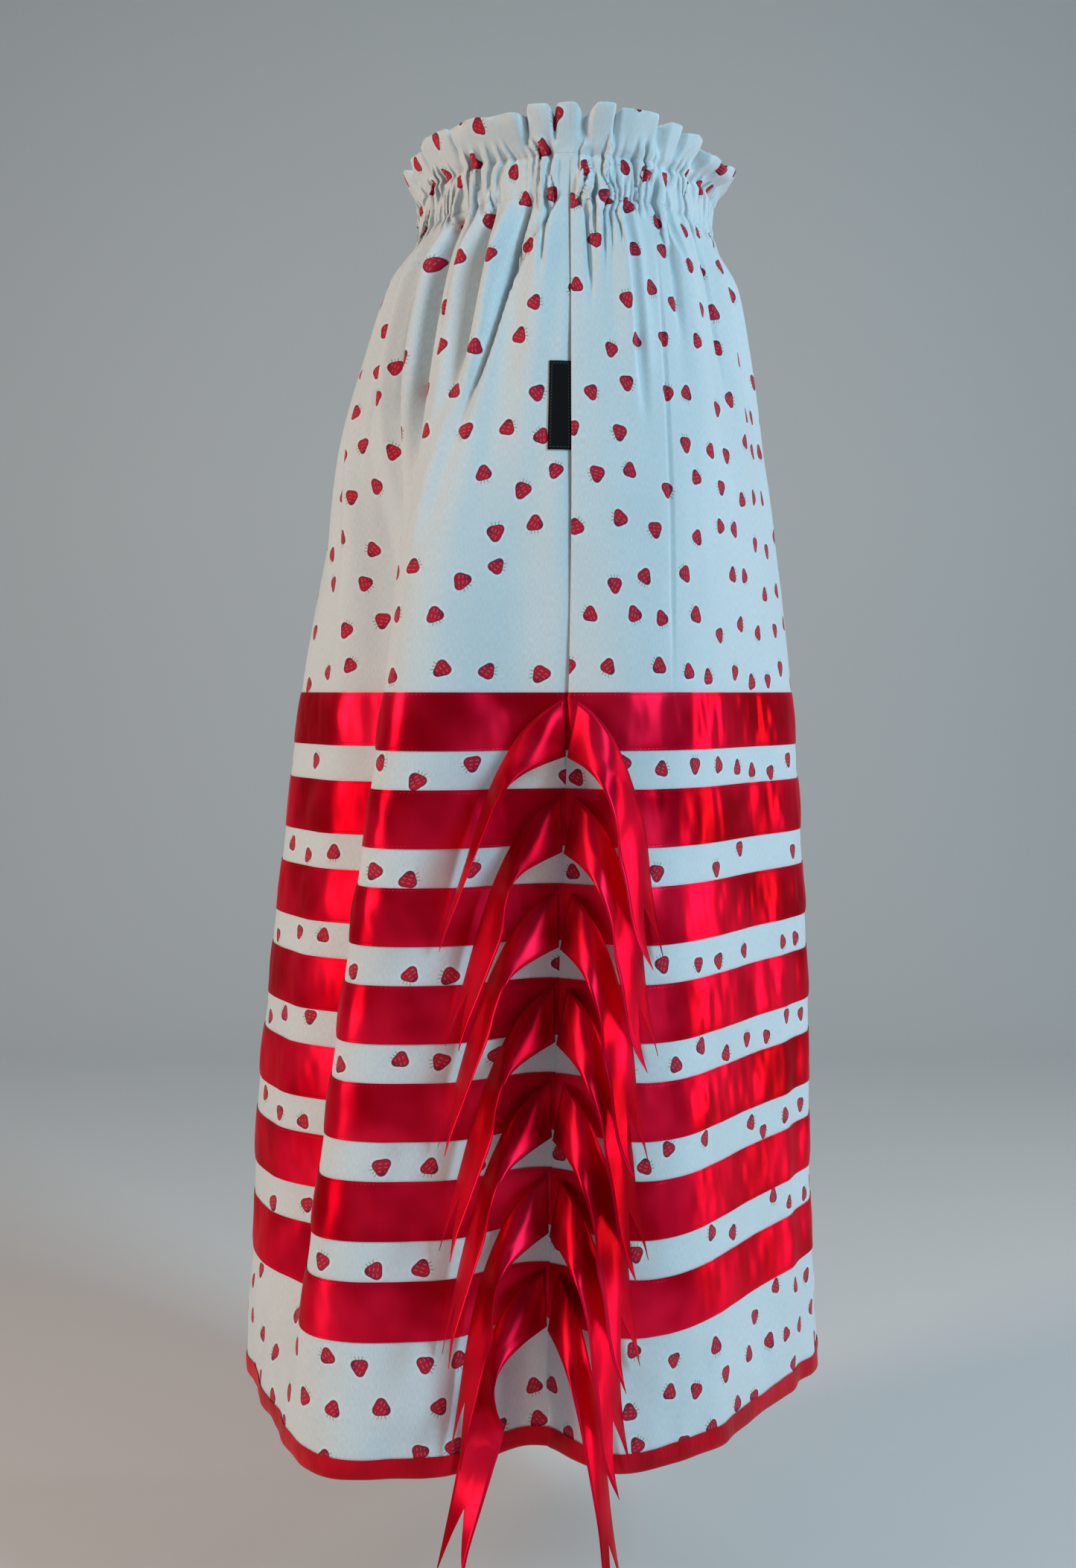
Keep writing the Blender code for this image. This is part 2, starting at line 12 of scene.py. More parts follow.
import bpy
import numpy as np
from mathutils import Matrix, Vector


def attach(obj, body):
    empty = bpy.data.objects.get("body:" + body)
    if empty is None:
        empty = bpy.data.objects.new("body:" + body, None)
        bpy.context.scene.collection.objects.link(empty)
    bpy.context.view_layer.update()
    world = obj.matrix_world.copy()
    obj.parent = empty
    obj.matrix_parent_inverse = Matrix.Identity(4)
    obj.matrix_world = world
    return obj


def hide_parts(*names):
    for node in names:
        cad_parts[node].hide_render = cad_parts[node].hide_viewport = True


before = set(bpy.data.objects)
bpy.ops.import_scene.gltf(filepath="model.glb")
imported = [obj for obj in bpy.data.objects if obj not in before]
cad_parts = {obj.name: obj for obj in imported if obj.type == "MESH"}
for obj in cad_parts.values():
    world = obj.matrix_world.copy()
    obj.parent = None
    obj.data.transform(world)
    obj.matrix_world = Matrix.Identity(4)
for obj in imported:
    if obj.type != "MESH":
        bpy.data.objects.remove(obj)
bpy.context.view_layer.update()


def table(columns, *rows):
    """A list of rows whose columns have names."""
    row_type = namedtuple("Row", columns)
    return [row_type(*row) for row in rows]


# The photo's frame, in its own pixels, and the camera that fits it
PHOTO_HEIGHT = 2106
FOCAL_PIXELS = 2290
HORIZON_PIXEL = 930
SENSOR = 36.0
CAMERA_PLACE = (1.3, -0.022, -0.352)

# Sizes repeated from the part
CASING_HEIGHT = 0.030
RUFFLE_HEIGHT = 0.026
RIBBON_WIDTH = 0.0381
RIBBON_PITCH = 0.0635
RIBBON_ROWS = 7
FIRST_RIBBON_DROP = 0.352
BARE_HEM = 0.086
BINDING_HEIGHT = 0.012
LABEL_WIDTH = 0.0145
LABEL_TOP_DROP = 0.132
LABEL_LENGTH = 0.060

CASING_TOP = -CASING_HEIGHT / 2
CASING_BOTTOM = CASING_HEIGHT / 2
RUFFLE_TOP = CASING_TOP - RUFFLE_HEIGHT
RIBBON_TOPS = [FIRST_RIBBON_DROP + RIBBON_PITCH * row for row in range(RIBBON_ROWS)]
HEM = RIBBON_TOPS[-1] + RIBBON_WIDTH + BARE_HEM

# The cut of one panel: a trapezoid, with the turned-in casing and ruffle at its top
CUT_TOP_WIDTH = 0.565
CUT_HEM_WIDTH = 0.735

# The place where each panel starts, and the last one's end
FIRST_PLACE = {"back": 0.0, "front": 1.0}
LAST_PLACE = 1.9999

# Half sizes of the outline
SECTIONS = table(
    "drop front back side",
    (RUFFLE_TOP, 0.117, 0.118, 0.152),
    (CASING_TOP, 0.110, 0.109, 0.145),
    (CASING_BOTTOM, 0.110, 0.109, 0.145),
    (0.050, 0.129, 0.122, 0.156),
    (0.100, 0.146, 0.132, 0.165),
    (0.168, 0.167, 0.143, 0.175),
    (0.245, 0.183, 0.156, 0.183),
    (0.352, 0.202, 0.169, 0.190),
    (0.455, 0.215, 0.175, 0.195),
    (0.572, 0.230, 0.180, 0.199),
    (0.699, 0.243, 0.182, 0.203),
    (HEM, 0.236, 0.187, 0.207),
)

# The large folds, as in the part: bearings in degrees from the left seam to the back
FOLDS = table(
    "bearing drift half_width depth start full hem_share",
    (-5, -4, 17, -0.018, 0.22, 0.50, 1.8),
    (17, 1, 15, 0.005, 0.33, 0.60, -1.0),
    (49, -1, 34, -0.018, 0.12, 0.45, 1.0),
    (69, 2, 8, -0.003, 0.45, 0.62, 1.0),
    (103, 3, 14, 0.007, 0.20, 0.50, 1.2),
    (128, 2, 24, -0.020, 0.15, 0.48, 1.0),
    (158, 3, 17, 0.012, 0.30, 0.55, 1.1),
    (181, 1, 15, -0.018, 0.24, 0.50, 1.4),
    (217, -2, 22, 0.021, 0.14, 0.46, 0.8),
    (242, -3, 19, -0.028, 0.10, 0.40, 0.3),
    (266, 2, 20, 0.005, 0.16, 0.42, 0.9),
    (298, -12, 36, -0.022, 0.14, 0.42, 0.0),
    (313, -14, 19, -0.030, 0.10, 0.28, -0.2),
    (334, -18, 21, 0.027, 0.10, 0.32, 0.8),
    (325, 0, 22, 0.020, 0.64, 0.85, 1.0),
)
FOLDS_RELAX_FROM = 0.70

# Soft folds that fall from the gathers and fade out, as in the part
FALLS = table(
    "place drift half_width depth end",
    (0.09, 0.01, 0.035, 0.005, 0.20),
    (0.20, 0.01, 0.040, 0.004, 0.26),
    (0.31, 0.00, 0.045, 0.006, 0.30),
    (0.44, -0.01, 0.040, 0.007, 0.34),
    (0.57, 0.01, 0.045, 0.006, 0.31),
    (0.69, 0.00, 0.040, 0.008, 0.33),
    (0.80, 0.02, 0.040, 0.006, 0.28),
    (0.91, -0.01, 0.035, 0.007, 0.24),
    (1.08, 0.01, 0.040, 0.007, 0.27),
    (1.19, 0.02, 0.045, 0.008, 0.32),
    (1.30, -0.01, 0.040, 0.007, 0.35),
    (1.42, 0.00, 0.045, 0.008, 0.33),
    (1.54, 0.01, 0.040, 0.007, 0.34),
    (1.62, -0.01, 0.035, 0.008, 0.36),
    (1.695, 0.01, 0.032, 0.010, 0.38),
    (1.765, -0.01, 0.030, 0.011, 0.40),
    (1.833, -0.02, 0.030, 0.009, 0.30),
    (1.895, -0.03, 0.030, 0.008, 0.30),
    (1.962, -0.03, 0.034, 0.006, 0.26),
)
FALL_START = 0.004
FALL_FULL = 0.055
CREASE_START = 0.010
CREASE_SHARPNESS = 1.5

# Narrow creases between the falls: valley lines, and one ridge, that slant as they run down
CREASES = table(
    "place drift half_width depth full end",
    (1.994, -0.124, 0.011, -0.0055, 0.025, 0.110),
    (1.962, -0.006, 0.009, -0.0055, 0.025, 0.075),
    (1.938, -0.080, 0.012, -0.0125, 0.028, 0.190),
    (1.905, -0.100, 0.022, 0.0045, 0.030, 0.300),
    (1.864, -0.014, 0.012, -0.0095, 0.028, 0.160),
    (1.826, -0.020, 0.011, -0.0060, 0.030, 0.130),
    (1.788, -0.008, 0.013, -0.0110, 0.032, 0.230),
    (1.735, -0.005, 0.013, -0.0060, 0.035, 0.190),
    (1.655, 0.010, 0.014, -0.0055, 0.035, 0.200),
    (1.580, -0.004, 0.014, -0.0045, 0.040, 0.180),
    (1.480, 0.020, 0.016, -0.0050, 0.040, 0.210),
    (1.360, -0.015, 0.013, -0.0045, 0.040, 0.150),
    (1.245, 0.020, 0.016, -0.0055, 0.040, 0.220),
    (1.135, 0.006, 0.013, -0.0045, 0.040, 0.160),
    (0.955, -0.004, 0.012, -0.0040, 0.040, 0.130),
    (0.855, -0.020, 0.014, -0.0045, 0.040, 0.170),
    (0.745, 0.010, 0.015, -0.0050, 0.040, 0.200),
    (0.630, 0.015, 0.013, -0.0040, 0.040, 0.150),
    (0.505, -0.010, 0.015, -0.0050, 0.040, 0.190),
    (0.375, 0.004, 0.014, -0.0045, 0.040, 0.160),
    (0.255, 0.015, 0.012, -0.0035, 0.035, 0.150),
    (0.172, 0.004, 0.012, -0.0030, 0.030, 0.120),
    (0.094, 0.010, 0.016, -0.0052, 0.028, 0.190),
    (0.146, -0.018, 0.006, -0.0018, 0.150, 0.370),
    (0.026, 0.004, 0.009, -0.0055, 0.024, 0.095),
)

# Lobes of the ruffle that the photo shows: from where to where each runs, how far it
# stands out and how far it rises. The cloth tucks in between two of them.
Lobe = namedtuple("Lobe", "start end out rise")
SHOWN_LOBES = [
    Lobe(-0.405, -0.325, 0.0050, -0.004),
    Lobe(-0.318, -0.222, 0.0075, -0.001),
    Lobe(-0.212, -0.080, 0.0100, -0.003),
    Lobe(-0.070, -0.031, 0.0070, 0.002),
    Lobe(-0.024, 0.013, 0.0045, 0.003),
    Lobe(0.036, 0.073, 0.0070, 0.002),
    Lobe(0.078, 0.150, 0.0055, 0.001),
    Lobe(0.172, 0.205, 0.0040, -0.001),
    Lobe(0.210, 0.262, 0.0050, -0.004),
    Lobe(0.275, 0.325, 0.0080, -0.012),
    Lobe(0.332, 0.392, 0.0095, -0.014),
]
TUCK_DEPTH = 0.0055
TUCK_SINK = 0.003
TUCK_REACH = 0.013
TUCK_MOST = 0.45
TUCK_OUTSIDE = 0.4
ROLL_REACH = 0.017
ROLL_OVER = 0.0026
ROLLED_SHARE = 0.8
RIM_HEIGHT = 0.002
STILL_AT_SEAM = 0.020
HELD_AT_SEAM = 0.012
LOBE_SWELL = 0.20
LOBE_DROOP = 0.0015

# Lobes round the hidden sides, drawn between these bounds
HIDDEN_TUCK_WIDTHS = (0.005, 0.020)
HIDDEN_LOBE_WIDTHS = (0.035, 0.110)
HIDDEN_LOBE_OUTS = (0.0045, 0.0095)
HIDDEN_LOBE_RISES = (-0.005, 0.002)
LOBE_SEED = 7
LAST_TUCK = 0.006
LAST_LOBE_ROOM = 0.05

# Pleats of the casing: it is pinched along two rows of stitches
PLEATS_PER_PANEL = 54
PLEAT_WIDTHS = (0.4, 1.8)
PLEAT_SIZES = (0.15, 1.75)
PLEAT_DEPTH = 0.0027
PLEAT_LEAN = 0.0012
PLEAT_ROUNDNESS = 0.7
LEAN_PHASE = 0.8
PLEAT_END = 0.030
PLEAT_RUNS_ON = 0.050
PLEAT_START = 0.012
PLEATS_CHANGE = (-0.008, 0.010)
PINCH_DROP = -0.0135
PINCH_REACH = 0.005
UPPER_PINCH = 0.0032
LOWER_PINCH = 0.0018
PINCHED_DEEPER = 0.2
FLAT_AT_SEAM = {"front": 0.030, "back": 0.017}

# Small uneven waves: their size, and how many lie along a panel and down a metre. On a
# trim they are counted down its own width, and on a free end along one of its stations.
Waves = namedtuple("Waves", "size along down seed")
RUFFLE_WANDER = [Waves(0.004, 20.0, 60.0, 13)]
RUFFLE_RIPPLES = [Waves(0.0016, 46.0, 45.0, 11)]
RIM_RIPPLES = [Waves(0.0010, 40.0, 0.0, 14)]
PLEAT_WANDER = [Waves(0.012, 12.0, 30.0, 3), Waves(0.007, 31.0, 75.0, 4)]
PLEAT_CHANGE = [Waves(0.006, 25.0, 0.0, 6)]
PLEAT_LENGTHS = [Waves(1.0, 17.0, 0.0, 8)]
PLEAT_CLUSTERS = [Waves(0.6, 10.0, 20.0, 5)]
WRINKLES = [Waves(0.0006, 20.0, 14.0, 21), Waves(0.0003, 52.0, 40.0, 22)]
HEM_CRUMPLES = [Waves(0.0019, 34.0, 44.0, 23)]
BINDING_ROLL = [Waves(0.0004, 70.0, 2.0, 41)]
RIBBON_BROAD = Waves(0.0006, 38.0, 1.3, 31)
RIBBON_FINE = Waves(0.00035, 92.0, 2.2, 61)
TAIL_WAVES = Waves(0.0005, 0.5, 0.9, 51)
WRINKLES_FULL = 0.10
CRUMPLED_SHARE = 0.6

# Each panel dips at its side seams. The front one lies under the back one's edge.
Groove = namedtuple("Groove", "depth reach")
SEAM_GROOVES = {"front": Groove(0.0026, 0.013), "back": Groove(0.0006, 0.004)}
GROOVE_FULL = CASING_BOTTOM + 0.010

# The side seams drift towards the hem, in degrees, and parts of the hem ride up
SEAM_BEARING = {"left": 0.0, "right": 180.0}
SEAM_DRIFT = {"left": -5.0, "right": 2.0}
SEAM_DRIFT_START = 0.20
BACK_LIFT = 0.008
SEAM_LIFT = 0.010
SEAM_LIFT_SHARE = 0.11

# Cloth as it is seen: thicknesses, and how proud of the panel each trim lies
FOLDED_THICKNESS = 0.0010
TURNED_IN_PAST_CASING = 0.004
RIBBON_ABOVE = 0.0006
RIBBON_PUFF = 0.0006
RIBBON_SLANT = 0.010
BINDING_ABOVE = 0.0007
BINDING_PUFF = 0.0005
BINDING_BEHIND = 0.0018
BINDING_BELOW = 0.0012
TAB_ABOVE = 0.0010
TAB_THICKNESS = 0.0006
TAIL_THICKNESS = 0.0004

# How finely each piece is divided. Trims stop just short of the side seams.
PANEL_COLUMNS = 520
RUFFLE_LEVELS = 16
CASING_LEVELS = 28
BODY_LEVELS = 104
CASING_LEVELS_END = CASING_BOTTOM + 0.020
RIBBON_LANES = 12
BINDING_LANES = 6
TAB_COLUMNS = 12
TAB_ROWS = 30
OUTLINE_SAMPLES = 1441
HEADING_STEP = 0.002
NOISE_CELLS = 64
SEAM_SHARE = 0.0002
PANEL_SHARES = np.linspace(0.0, 1.0, PANEL_COLUMNS + 1)
TRIM_SHARES = np.linspace(SEAM_SHARE, 1.0 - SEAM_SHARE, PANEL_COLUMNS + 1)

# Free ends of the ribbons, from the seam: how far each edge lies along the cloth and
# below the ribbon's top edge, and how proud of the cloth the upper edge is. The lower
# edge swings out towards the viewer as far as the ribbon's width asks. Those towards
# the front turn nearly edge-on, those towards the back keep more of their face.
TAIL_COLUMNS = "out_up drop_up proud_up out_low drop_low"
TAIL_STATIONS = {
    "front": table(
        TAIL_COLUMNS,
        (0.0030, 0.0040, 0.0028, 0.0005, 0.0420),
        (0.0150, 0.0125, 0.0075, 0.0145, 0.0470),
        (0.0270, 0.0240, 0.0105, 0.0265, 0.0530),
        (0.0370, 0.0395, 0.0110, 0.0355, 0.0610),
        (0.0460, 0.0580, 0.0105, 0.0430, 0.0745),
        (0.0535, 0.0790, 0.0095, 0.0490, 0.0910),
        (0.0600, 0.1020, 0.0085, 0.0555, 0.1090),
        (0.0660, 0.1260, 0.0075, 0.0620, 0.1290),
        (0.0710, 0.1460, 0.0070, 0.0675, 0.1460),
        (0.0755, 0.1650, 0.0070, 0.0720, 0.1620),
    ),
    "back": table(
        TAIL_COLUMNS,
        (0.0065, 0.0055, 0.0030, 0.0005, 0.0425),
        (0.0175, 0.0140, 0.0090, 0.0125, 0.0490),
        (0.0285, 0.0275, 0.0115, 0.0225, 0.0590),
        (0.0370, 0.0430, 0.0115, 0.0295, 0.0720),
        (0.0440, 0.0600, 0.0110, 0.0345, 0.0870),
        (0.0515, 0.0805, 0.0100, 0.0365, 0.1050),
        (0.0560, 0.1020, 0.0090, 0.0420, 0.1240),
        (0.0595, 0.1270, 0.0085, 0.0465, 0.1450),
        (0.0635, 0.1480, 0.0080, 0.0520, 0.1600),
        (0.0690, 0.1720, 0.0075, 0.0610, 0.1740),
    ),
}
TAIL_HANGS_FROM = 5
NOTCH_STATIONS = 2

# How widely each row's ends spread, how far down they reach, and how much more or less
# of their face shows, top row first
TailRows = namedtuple("TailRows", "spread reach face")
TAIL_ROWS = {
    ("left", "front"): TailRows(
        spread=(1.06, 0.97, 1.00, 0.96, 0.95, 0.93, 1.05),
        reach=(1.00, 1.00, 1.01, 1.03, 1.04, 1.06, 1.11),
        face=(1.0, 3.4, 2.4, 3.2, 2.6, 3.6, 6.4),
    ),
    ("left", "back"): TailRows(
        spread=(1.02, 1.00, 0.94, 0.97, 0.95, 0.91, 0.84),
        reach=(1.00, 1.00, 1.02, 1.02, 1.05, 1.06, 1.16),
        face=(1.00, 0.90, 1.00, 0.80, 0.95, 0.75, 0.30),
    ),
    ("right", "front"): TailRows(
        spread=(1.00, 1.02, 0.97, 1.00, 0.94, 0.95, 0.92),
        reach=(1.00, 1.01, 1.02, 1.02, 1.05, 1.05, 1.11),
        face=(2.2, 1.4, 2.8, 1.8, 2.6, 1.2, 2.4),
    ),
    ("right", "back"): TailRows(
        spread=(1.06, 1.02, 1.04, 0.98, 0.97, 0.93, 0.90),
        reach=(1.00, 1.01, 1.02, 1.03, 1.04, 1.06, 1.10),
        face=(0.60, 0.95, 0.80, 0.90, 0.70, 0.95, 0.85),
    ),
}
TAIL_STEPS = 9
TAIL_LANES = 10
TAIL_CURL = 0.0010
TAIL_SEWN_STATIONS = 1.5


def smooth_step(value, start, end):
    share = np.clip((np.asarray(value, float) - start) / (end - start), 0.0, 1.0)
    return share * share * (3.0 - 2.0 * share)


def bump(distance, half_width):
    """One soft round wave, 1 at its middle and 0 beyond its half width."""
    share = np.clip(np.abs(distance) / half_width, 0.0, 1.0)
    return 0.5 + 0.5 * np.cos(math.pi * share)


def noise(x, y, seed):
    """Smooth uneven waves between -1 and 1, one bump for each unit of x and y."""
    table = np.random.default_rng(seed).uniform(-1.0, 1.0, (NOISE_CELLS, NOISE_CELLS))
    x, y = np.broadcast_arrays(np.asarray(x, float), np.asarray(y, float))
    column = np.floor(x).astype(int)
    row = np.floor(y).astype(int)
    along = smooth_step(x - column, 0.0, 1.0)
    down = smooth_step(y - row, 0.0, 1.0)

    def corner(i, j):
        return table[(row + j) % NOISE_CELLS, (column + i) % NOISE_CELLS]

    upper = corner(0, 0) * (1 - along) + corner(1, 0) * along
    lower = corner(0, 1) * (1 - along) + corner(1, 1) * along
    return upper * (1 - down) + lower * down


def uneven(layers, place, drop):
    """The sum of some layers of small waves at a place and a drop."""
    return sum(wave.size * noise(place * wave.along, drop * wave.down, wave.seed) for wave in layers)


def section_size(drop, column):
    """A half size of the outline at any drop, on one smooth curve through SECTIONS."""
    drops = [row.drop for row in SECTIONS]
    sizes = [getattr(row, column) for row in SECTIONS]
    drop = min(max(drop, drops[0]), drops[-1])
    last = len(drops) - 1
    low = max(index for index in range(last) if drops[index] <= drop)
    high = low + 1

    def slope(index):
        before = max(index - 1, 0)
        after = min(index + 1, last)
        return (sizes[after] - sizes[before]) / (drops[after] - drops[before])

    span = drops[high] - drops[low]
    share = (drop - drops[low]) / span
    square = share * share
    cube = square * share
    return (
        (2 * cube - 3 * square + 1) * sizes[low]
        + (cube - 2 * square + share) * span * slope(low)
        + (3 * square - 2 * cube) * sizes[high]
        + (cube - square) * span * slope(high)
    )


def seam_bearing(side, drop):
    return SEAM_BEARING[side] + SEAM_DRIFT[side] * smooth_step(drop, SEAM_DRIFT_START, HEM)


def radius(bearing, drop):
    """Distance from the middle line to the cloth, with the large folds."""
    angle = np.radians(bearing)
    depth = np.where(np.sin(angle) < 0, section_size(drop, "front"), section_size(drop, "back"))
    side = section_size(drop, "side")
    reach = 1.0 / np.sqrt((np.cos(angle) / side) ** 2 + (np.sin(angle) / depth) ** 2)
    for fold in FOLDS:
        formed = smooth_step(drop, fold.start, fold.full)
        relaxed = smooth_step(drop, FOLDS_RELAX_FROM, HEM)
        strength = fold.depth * formed * (1.0 + (fold.hem_share - 1.0) * relaxed)
        middle = fold.bearing + fold.drift * smooth_step(drop, fold.start, HEM)
        distance = (bearing - middle + 180.0) % 360.0 - 180.0
        reach = reach + strength * bump(distance, fold.half_width)
    return reach


def outline(panel, drop):
    """Points of one panel's outline at a drop, and the way walked to each."""
    left = seam_bearing("left", drop)
    right = seam_bearing("right", drop)
    start, end = {"back": (left, right), "front": (right, left + 360.0)}[panel]
    bearings = np.linspace(start, end, OUTLINE_SAMPLES)
    reach = radius(bearings, drop)
    x = reach * np.cos(np.radians(bearings))
    y = reach * np.sin(np.radians(bearings))
    walked = np.concatenate([[0.0], np.cumsum(np.hypot(np.diff(x), np.diff(y)))])
    return x, y, walked


def panel_width(panel, drop):
    return outline(panel, drop)[2][-1]


def all_lobes():
    """The lobes that the photo shows, and uneven ones like them round the hidden sides."""
    chance = np.random.default_rng(LOBE_SEED)
    lobes = list(SHOWN_LOBES)
    end = SHOWN_LOBES[0].start + 2.0
    while lobes[-1].end < end - LAST_LOBE_ROOM:
        start = lobes[-1].end + chance.uniform(*HIDDEN_TUCK_WIDTHS)
        stop = min(start + chance.uniform(*HIDDEN_LOBE_WIDTHS), end - LAST_TUCK)
        out = chance.uniform(*HIDDEN_LOBE_OUTS)
        lobes.append(Lobe(start, stop, out, chance.uniform(*HIDDEN_LOBE_RISES)))
    return lobes


LOBES = all_lobes()


def pleat_table(seed):
    """Where each pleat of a panel's casing has its crest, and its size: no two alike."""
    chance = np.random.default_rng(seed)
    widths = chance.uniform(*PLEAT_WIDTHS, PLEATS_PER_PANEL)
    places = np.concatenate([[0.0], np.cumsum(widths)]) / widths.sum()
    sizes = chance.uniform(*PLEAT_SIZES, PLEATS_PER_PANEL + 1)
    return places, sizes


# One table for each panel, the back one first
PLEATS = [pleat_table(19), pleat_table(23)]
LOWER_PLEATS = [pleat_table(29), pleat_table(31)]


def from_seam(place):
    """How far a place is from the nearer side seam, in panels."""
    return np.minimum(place % 1.0, 1.0 - place % 1.0)


def from_line(place, drop, line):
    """How far a place is from a fall or crease, which slants as it runs down."""
    middle = line.place + line.drift * drop / line.end
    return (place - middle + 1.0) % 2.0 - 1.0


def falls_out(place, drop):
    """How far the soft falls and the creases between them move the cloth out or in."""
    out = np.zeros_like(place)
    formed = smooth_step(drop, FALL_START, FALL_FULL)
    for fall in FALLS:
        fading = 1.0 - smooth_step(drop, FALL_FULL, fall.end)
        out += fall.depth * formed * fading * bump(from_line(place, drop, fall), fall.half_width)
    for crease in CREASES:
        fading = 1.0 - smooth_step(drop, 0.5 * (crease.full + crease.end), crease.end)
        reach = smooth_step(drop, CREASE_START, crease.full) * fading
        profile = bump(from_line(place, drop, crease), crease.half_width) ** CREASE_SHARPNESS
        out += crease.depth * reach * profile
    return out


def pleat_fold(tables, place):
    """Rounded crests with sharp valleys between them."""
    fold = np.zeros_like(place)
    lean = np.zeros_like(place)
    for panel, (places, sizes) in enumerate(tables):
        here = np.floor(np.clip(place, 0.0, LAST_PLACE)) == panel
        phase = np.interp(place - panel, places, np.arange(len(places)))
        size = np.interp(phase, np.arange(len(sizes)), sizes)
        crest = np.abs(np.cos(math.pi * phase)) ** PLEAT_ROUNDNESS
        fold = np.where(here, size * (2.0 * crest - 1.0), fold)
        lean = np.where(here, size * np.sin(4.0 * math.pi * phase + LEAN_PHASE), lean)
    return fold, lean


def pleat_moves(place, drop):
    """Pinched gathers in the casing, deepest along its two rows of stitches."""
    wander = uneven(PLEAT_WANDER, place, drop)
    upper_fold, upper_lean = pleat_fold(PLEATS, place + wander)
    lower_fold, lower_lean = pleat_fold(LOWER_PLEATS, place + wander)
    changes = smooth_step(drop + uneven(PLEAT_CHANGE, place, drop), *PLEATS_CHANGE)
    fold = upper_fold + (lower_fold - upper_fold) * changes
    lean = upper_lean + (lower_lean - upper_lean) * changes
    runs_on = smooth_step(uneven(PLEAT_LENGTHS, place, drop), 0.05, 0.65)
    start = smooth_step(drop, RUFFLE_TOP + PLEAT_START, PINCH_DROP)
    in_casing = start * (1.0 - smooth_step(drop, CASING_BOTTOM, PLEAT_END + PLEAT_RUNS_ON * runs_on))
    clusters = 1.0 + uneven(PLEAT_CLUSTERS, place, drop)
    upper = bump(drop - PINCH_DROP, PINCH_REACH)
    lower = bump(drop - CASING_BOTTOM, PINCH_REACH)
    out = in_casing * PLEAT_DEPTH * clusters * fold * (1.0 + PINCHED_DEEPER * (upper + lower))
    out = out - UPPER_PINCH * upper - LOWER_PINCH * lower
    return out, PLEAT_LEAN * in_casing * clusters * lean


def ruffle_moves(place, drop):
    """How far the ruffle stands out, leans along and rises above its middle."""
    first = LOBES[0].start
    apart = smooth_step(from_seam(place), 0.0, STILL_AT_SEAM)
    wavy = place + apart * uneven(RUFFLE_WANDER, place, drop)
    wrapped = (wavy - first) % 2.0 + first
    grown = 1.0 - smooth_step(drop, RUFFLE_TOP + RIM_HEIGHT, PINCH_DROP)
    out = np.full_like(wrapped, -TUCK_DEPTH)
    along = np.zeros_like(wrapped)
    rise = np.full_like(wrapped, -TUCK_SINK)
    for lobe in LOBES:
        width = lobe.end - lobe.start
        edge = min(TUCK_REACH, TUCK_MOST * width)
        outer = TUCK_OUTSIDE * edge
        inner = (1.0 - TUCK_OUTSIDE) * edge
        begun = smooth_step(wrapped, lobe.start - outer, lobe.start + inner)
        inside = begun * (1.0 - smooth_step(wrapped, lobe.end - inner, lobe.end + outer))
        across = np.clip((wrapped - lobe.start) / width, 0.0, 1.0)
        swell = 1.0 - LOBE_SWELL + LOBE_SWELL * np.sin(math.pi * across)
        out += inside * (TUCK_DEPTH + lobe.out * swell)
        rise += inside * (TUCK_SINK + lobe.rise - LOBE_DROOP * (2.0 * across - 1.0) ** 4)
        along += ROLL_OVER * (bump(wrapped - lobe.end, ROLL_REACH) - bump(wrapped - lobe.start, ROLL_REACH))
    ripples = apart * uneven(RUFFLE_RIPPLES, place, drop)
    rise = rise + apart * uneven(RIM_RIPPLES, place, drop)
    lifted = 1.0 - smooth_step(drop, RUFFLE_TOP, PINCH_DROP)
    return grown * (out + ripples), ROLLED_SHARE * grown * along, lifted * rise


def wrinkles_out(place, drop):
    """Small unpressed wrinkles over the whole skirt, stronger between ribbons and hem."""
    near_hem = smooth_step(drop, HEM - BARE_HEM, HEM - CRUMPLED_SHARE * BARE_HEM)
    crumpled = near_hem * uneven(HEM_CRUMPLES, place, drop)
    return (uneven(WRINKLES, place, drop) + crumpled) * smooth_step(drop, CASING_BOTTOM, WRINKLES_FULL)


def hem_lift(panel, share, drop):
    """How far the cloth rides up at the seams and at the back, most at the hem."""
    lifted = smooth_step(drop, FIRST_RIBBON_DROP, HEM)
    lift = SEAM_LIFT * bump(np.minimum(share, 1.0 - share), SEAM_LIFT_SHARE)
    if panel == "back":
        lift = lift + BACK_LIFT * np.sin(math.pi * share)
    return lift * lifted


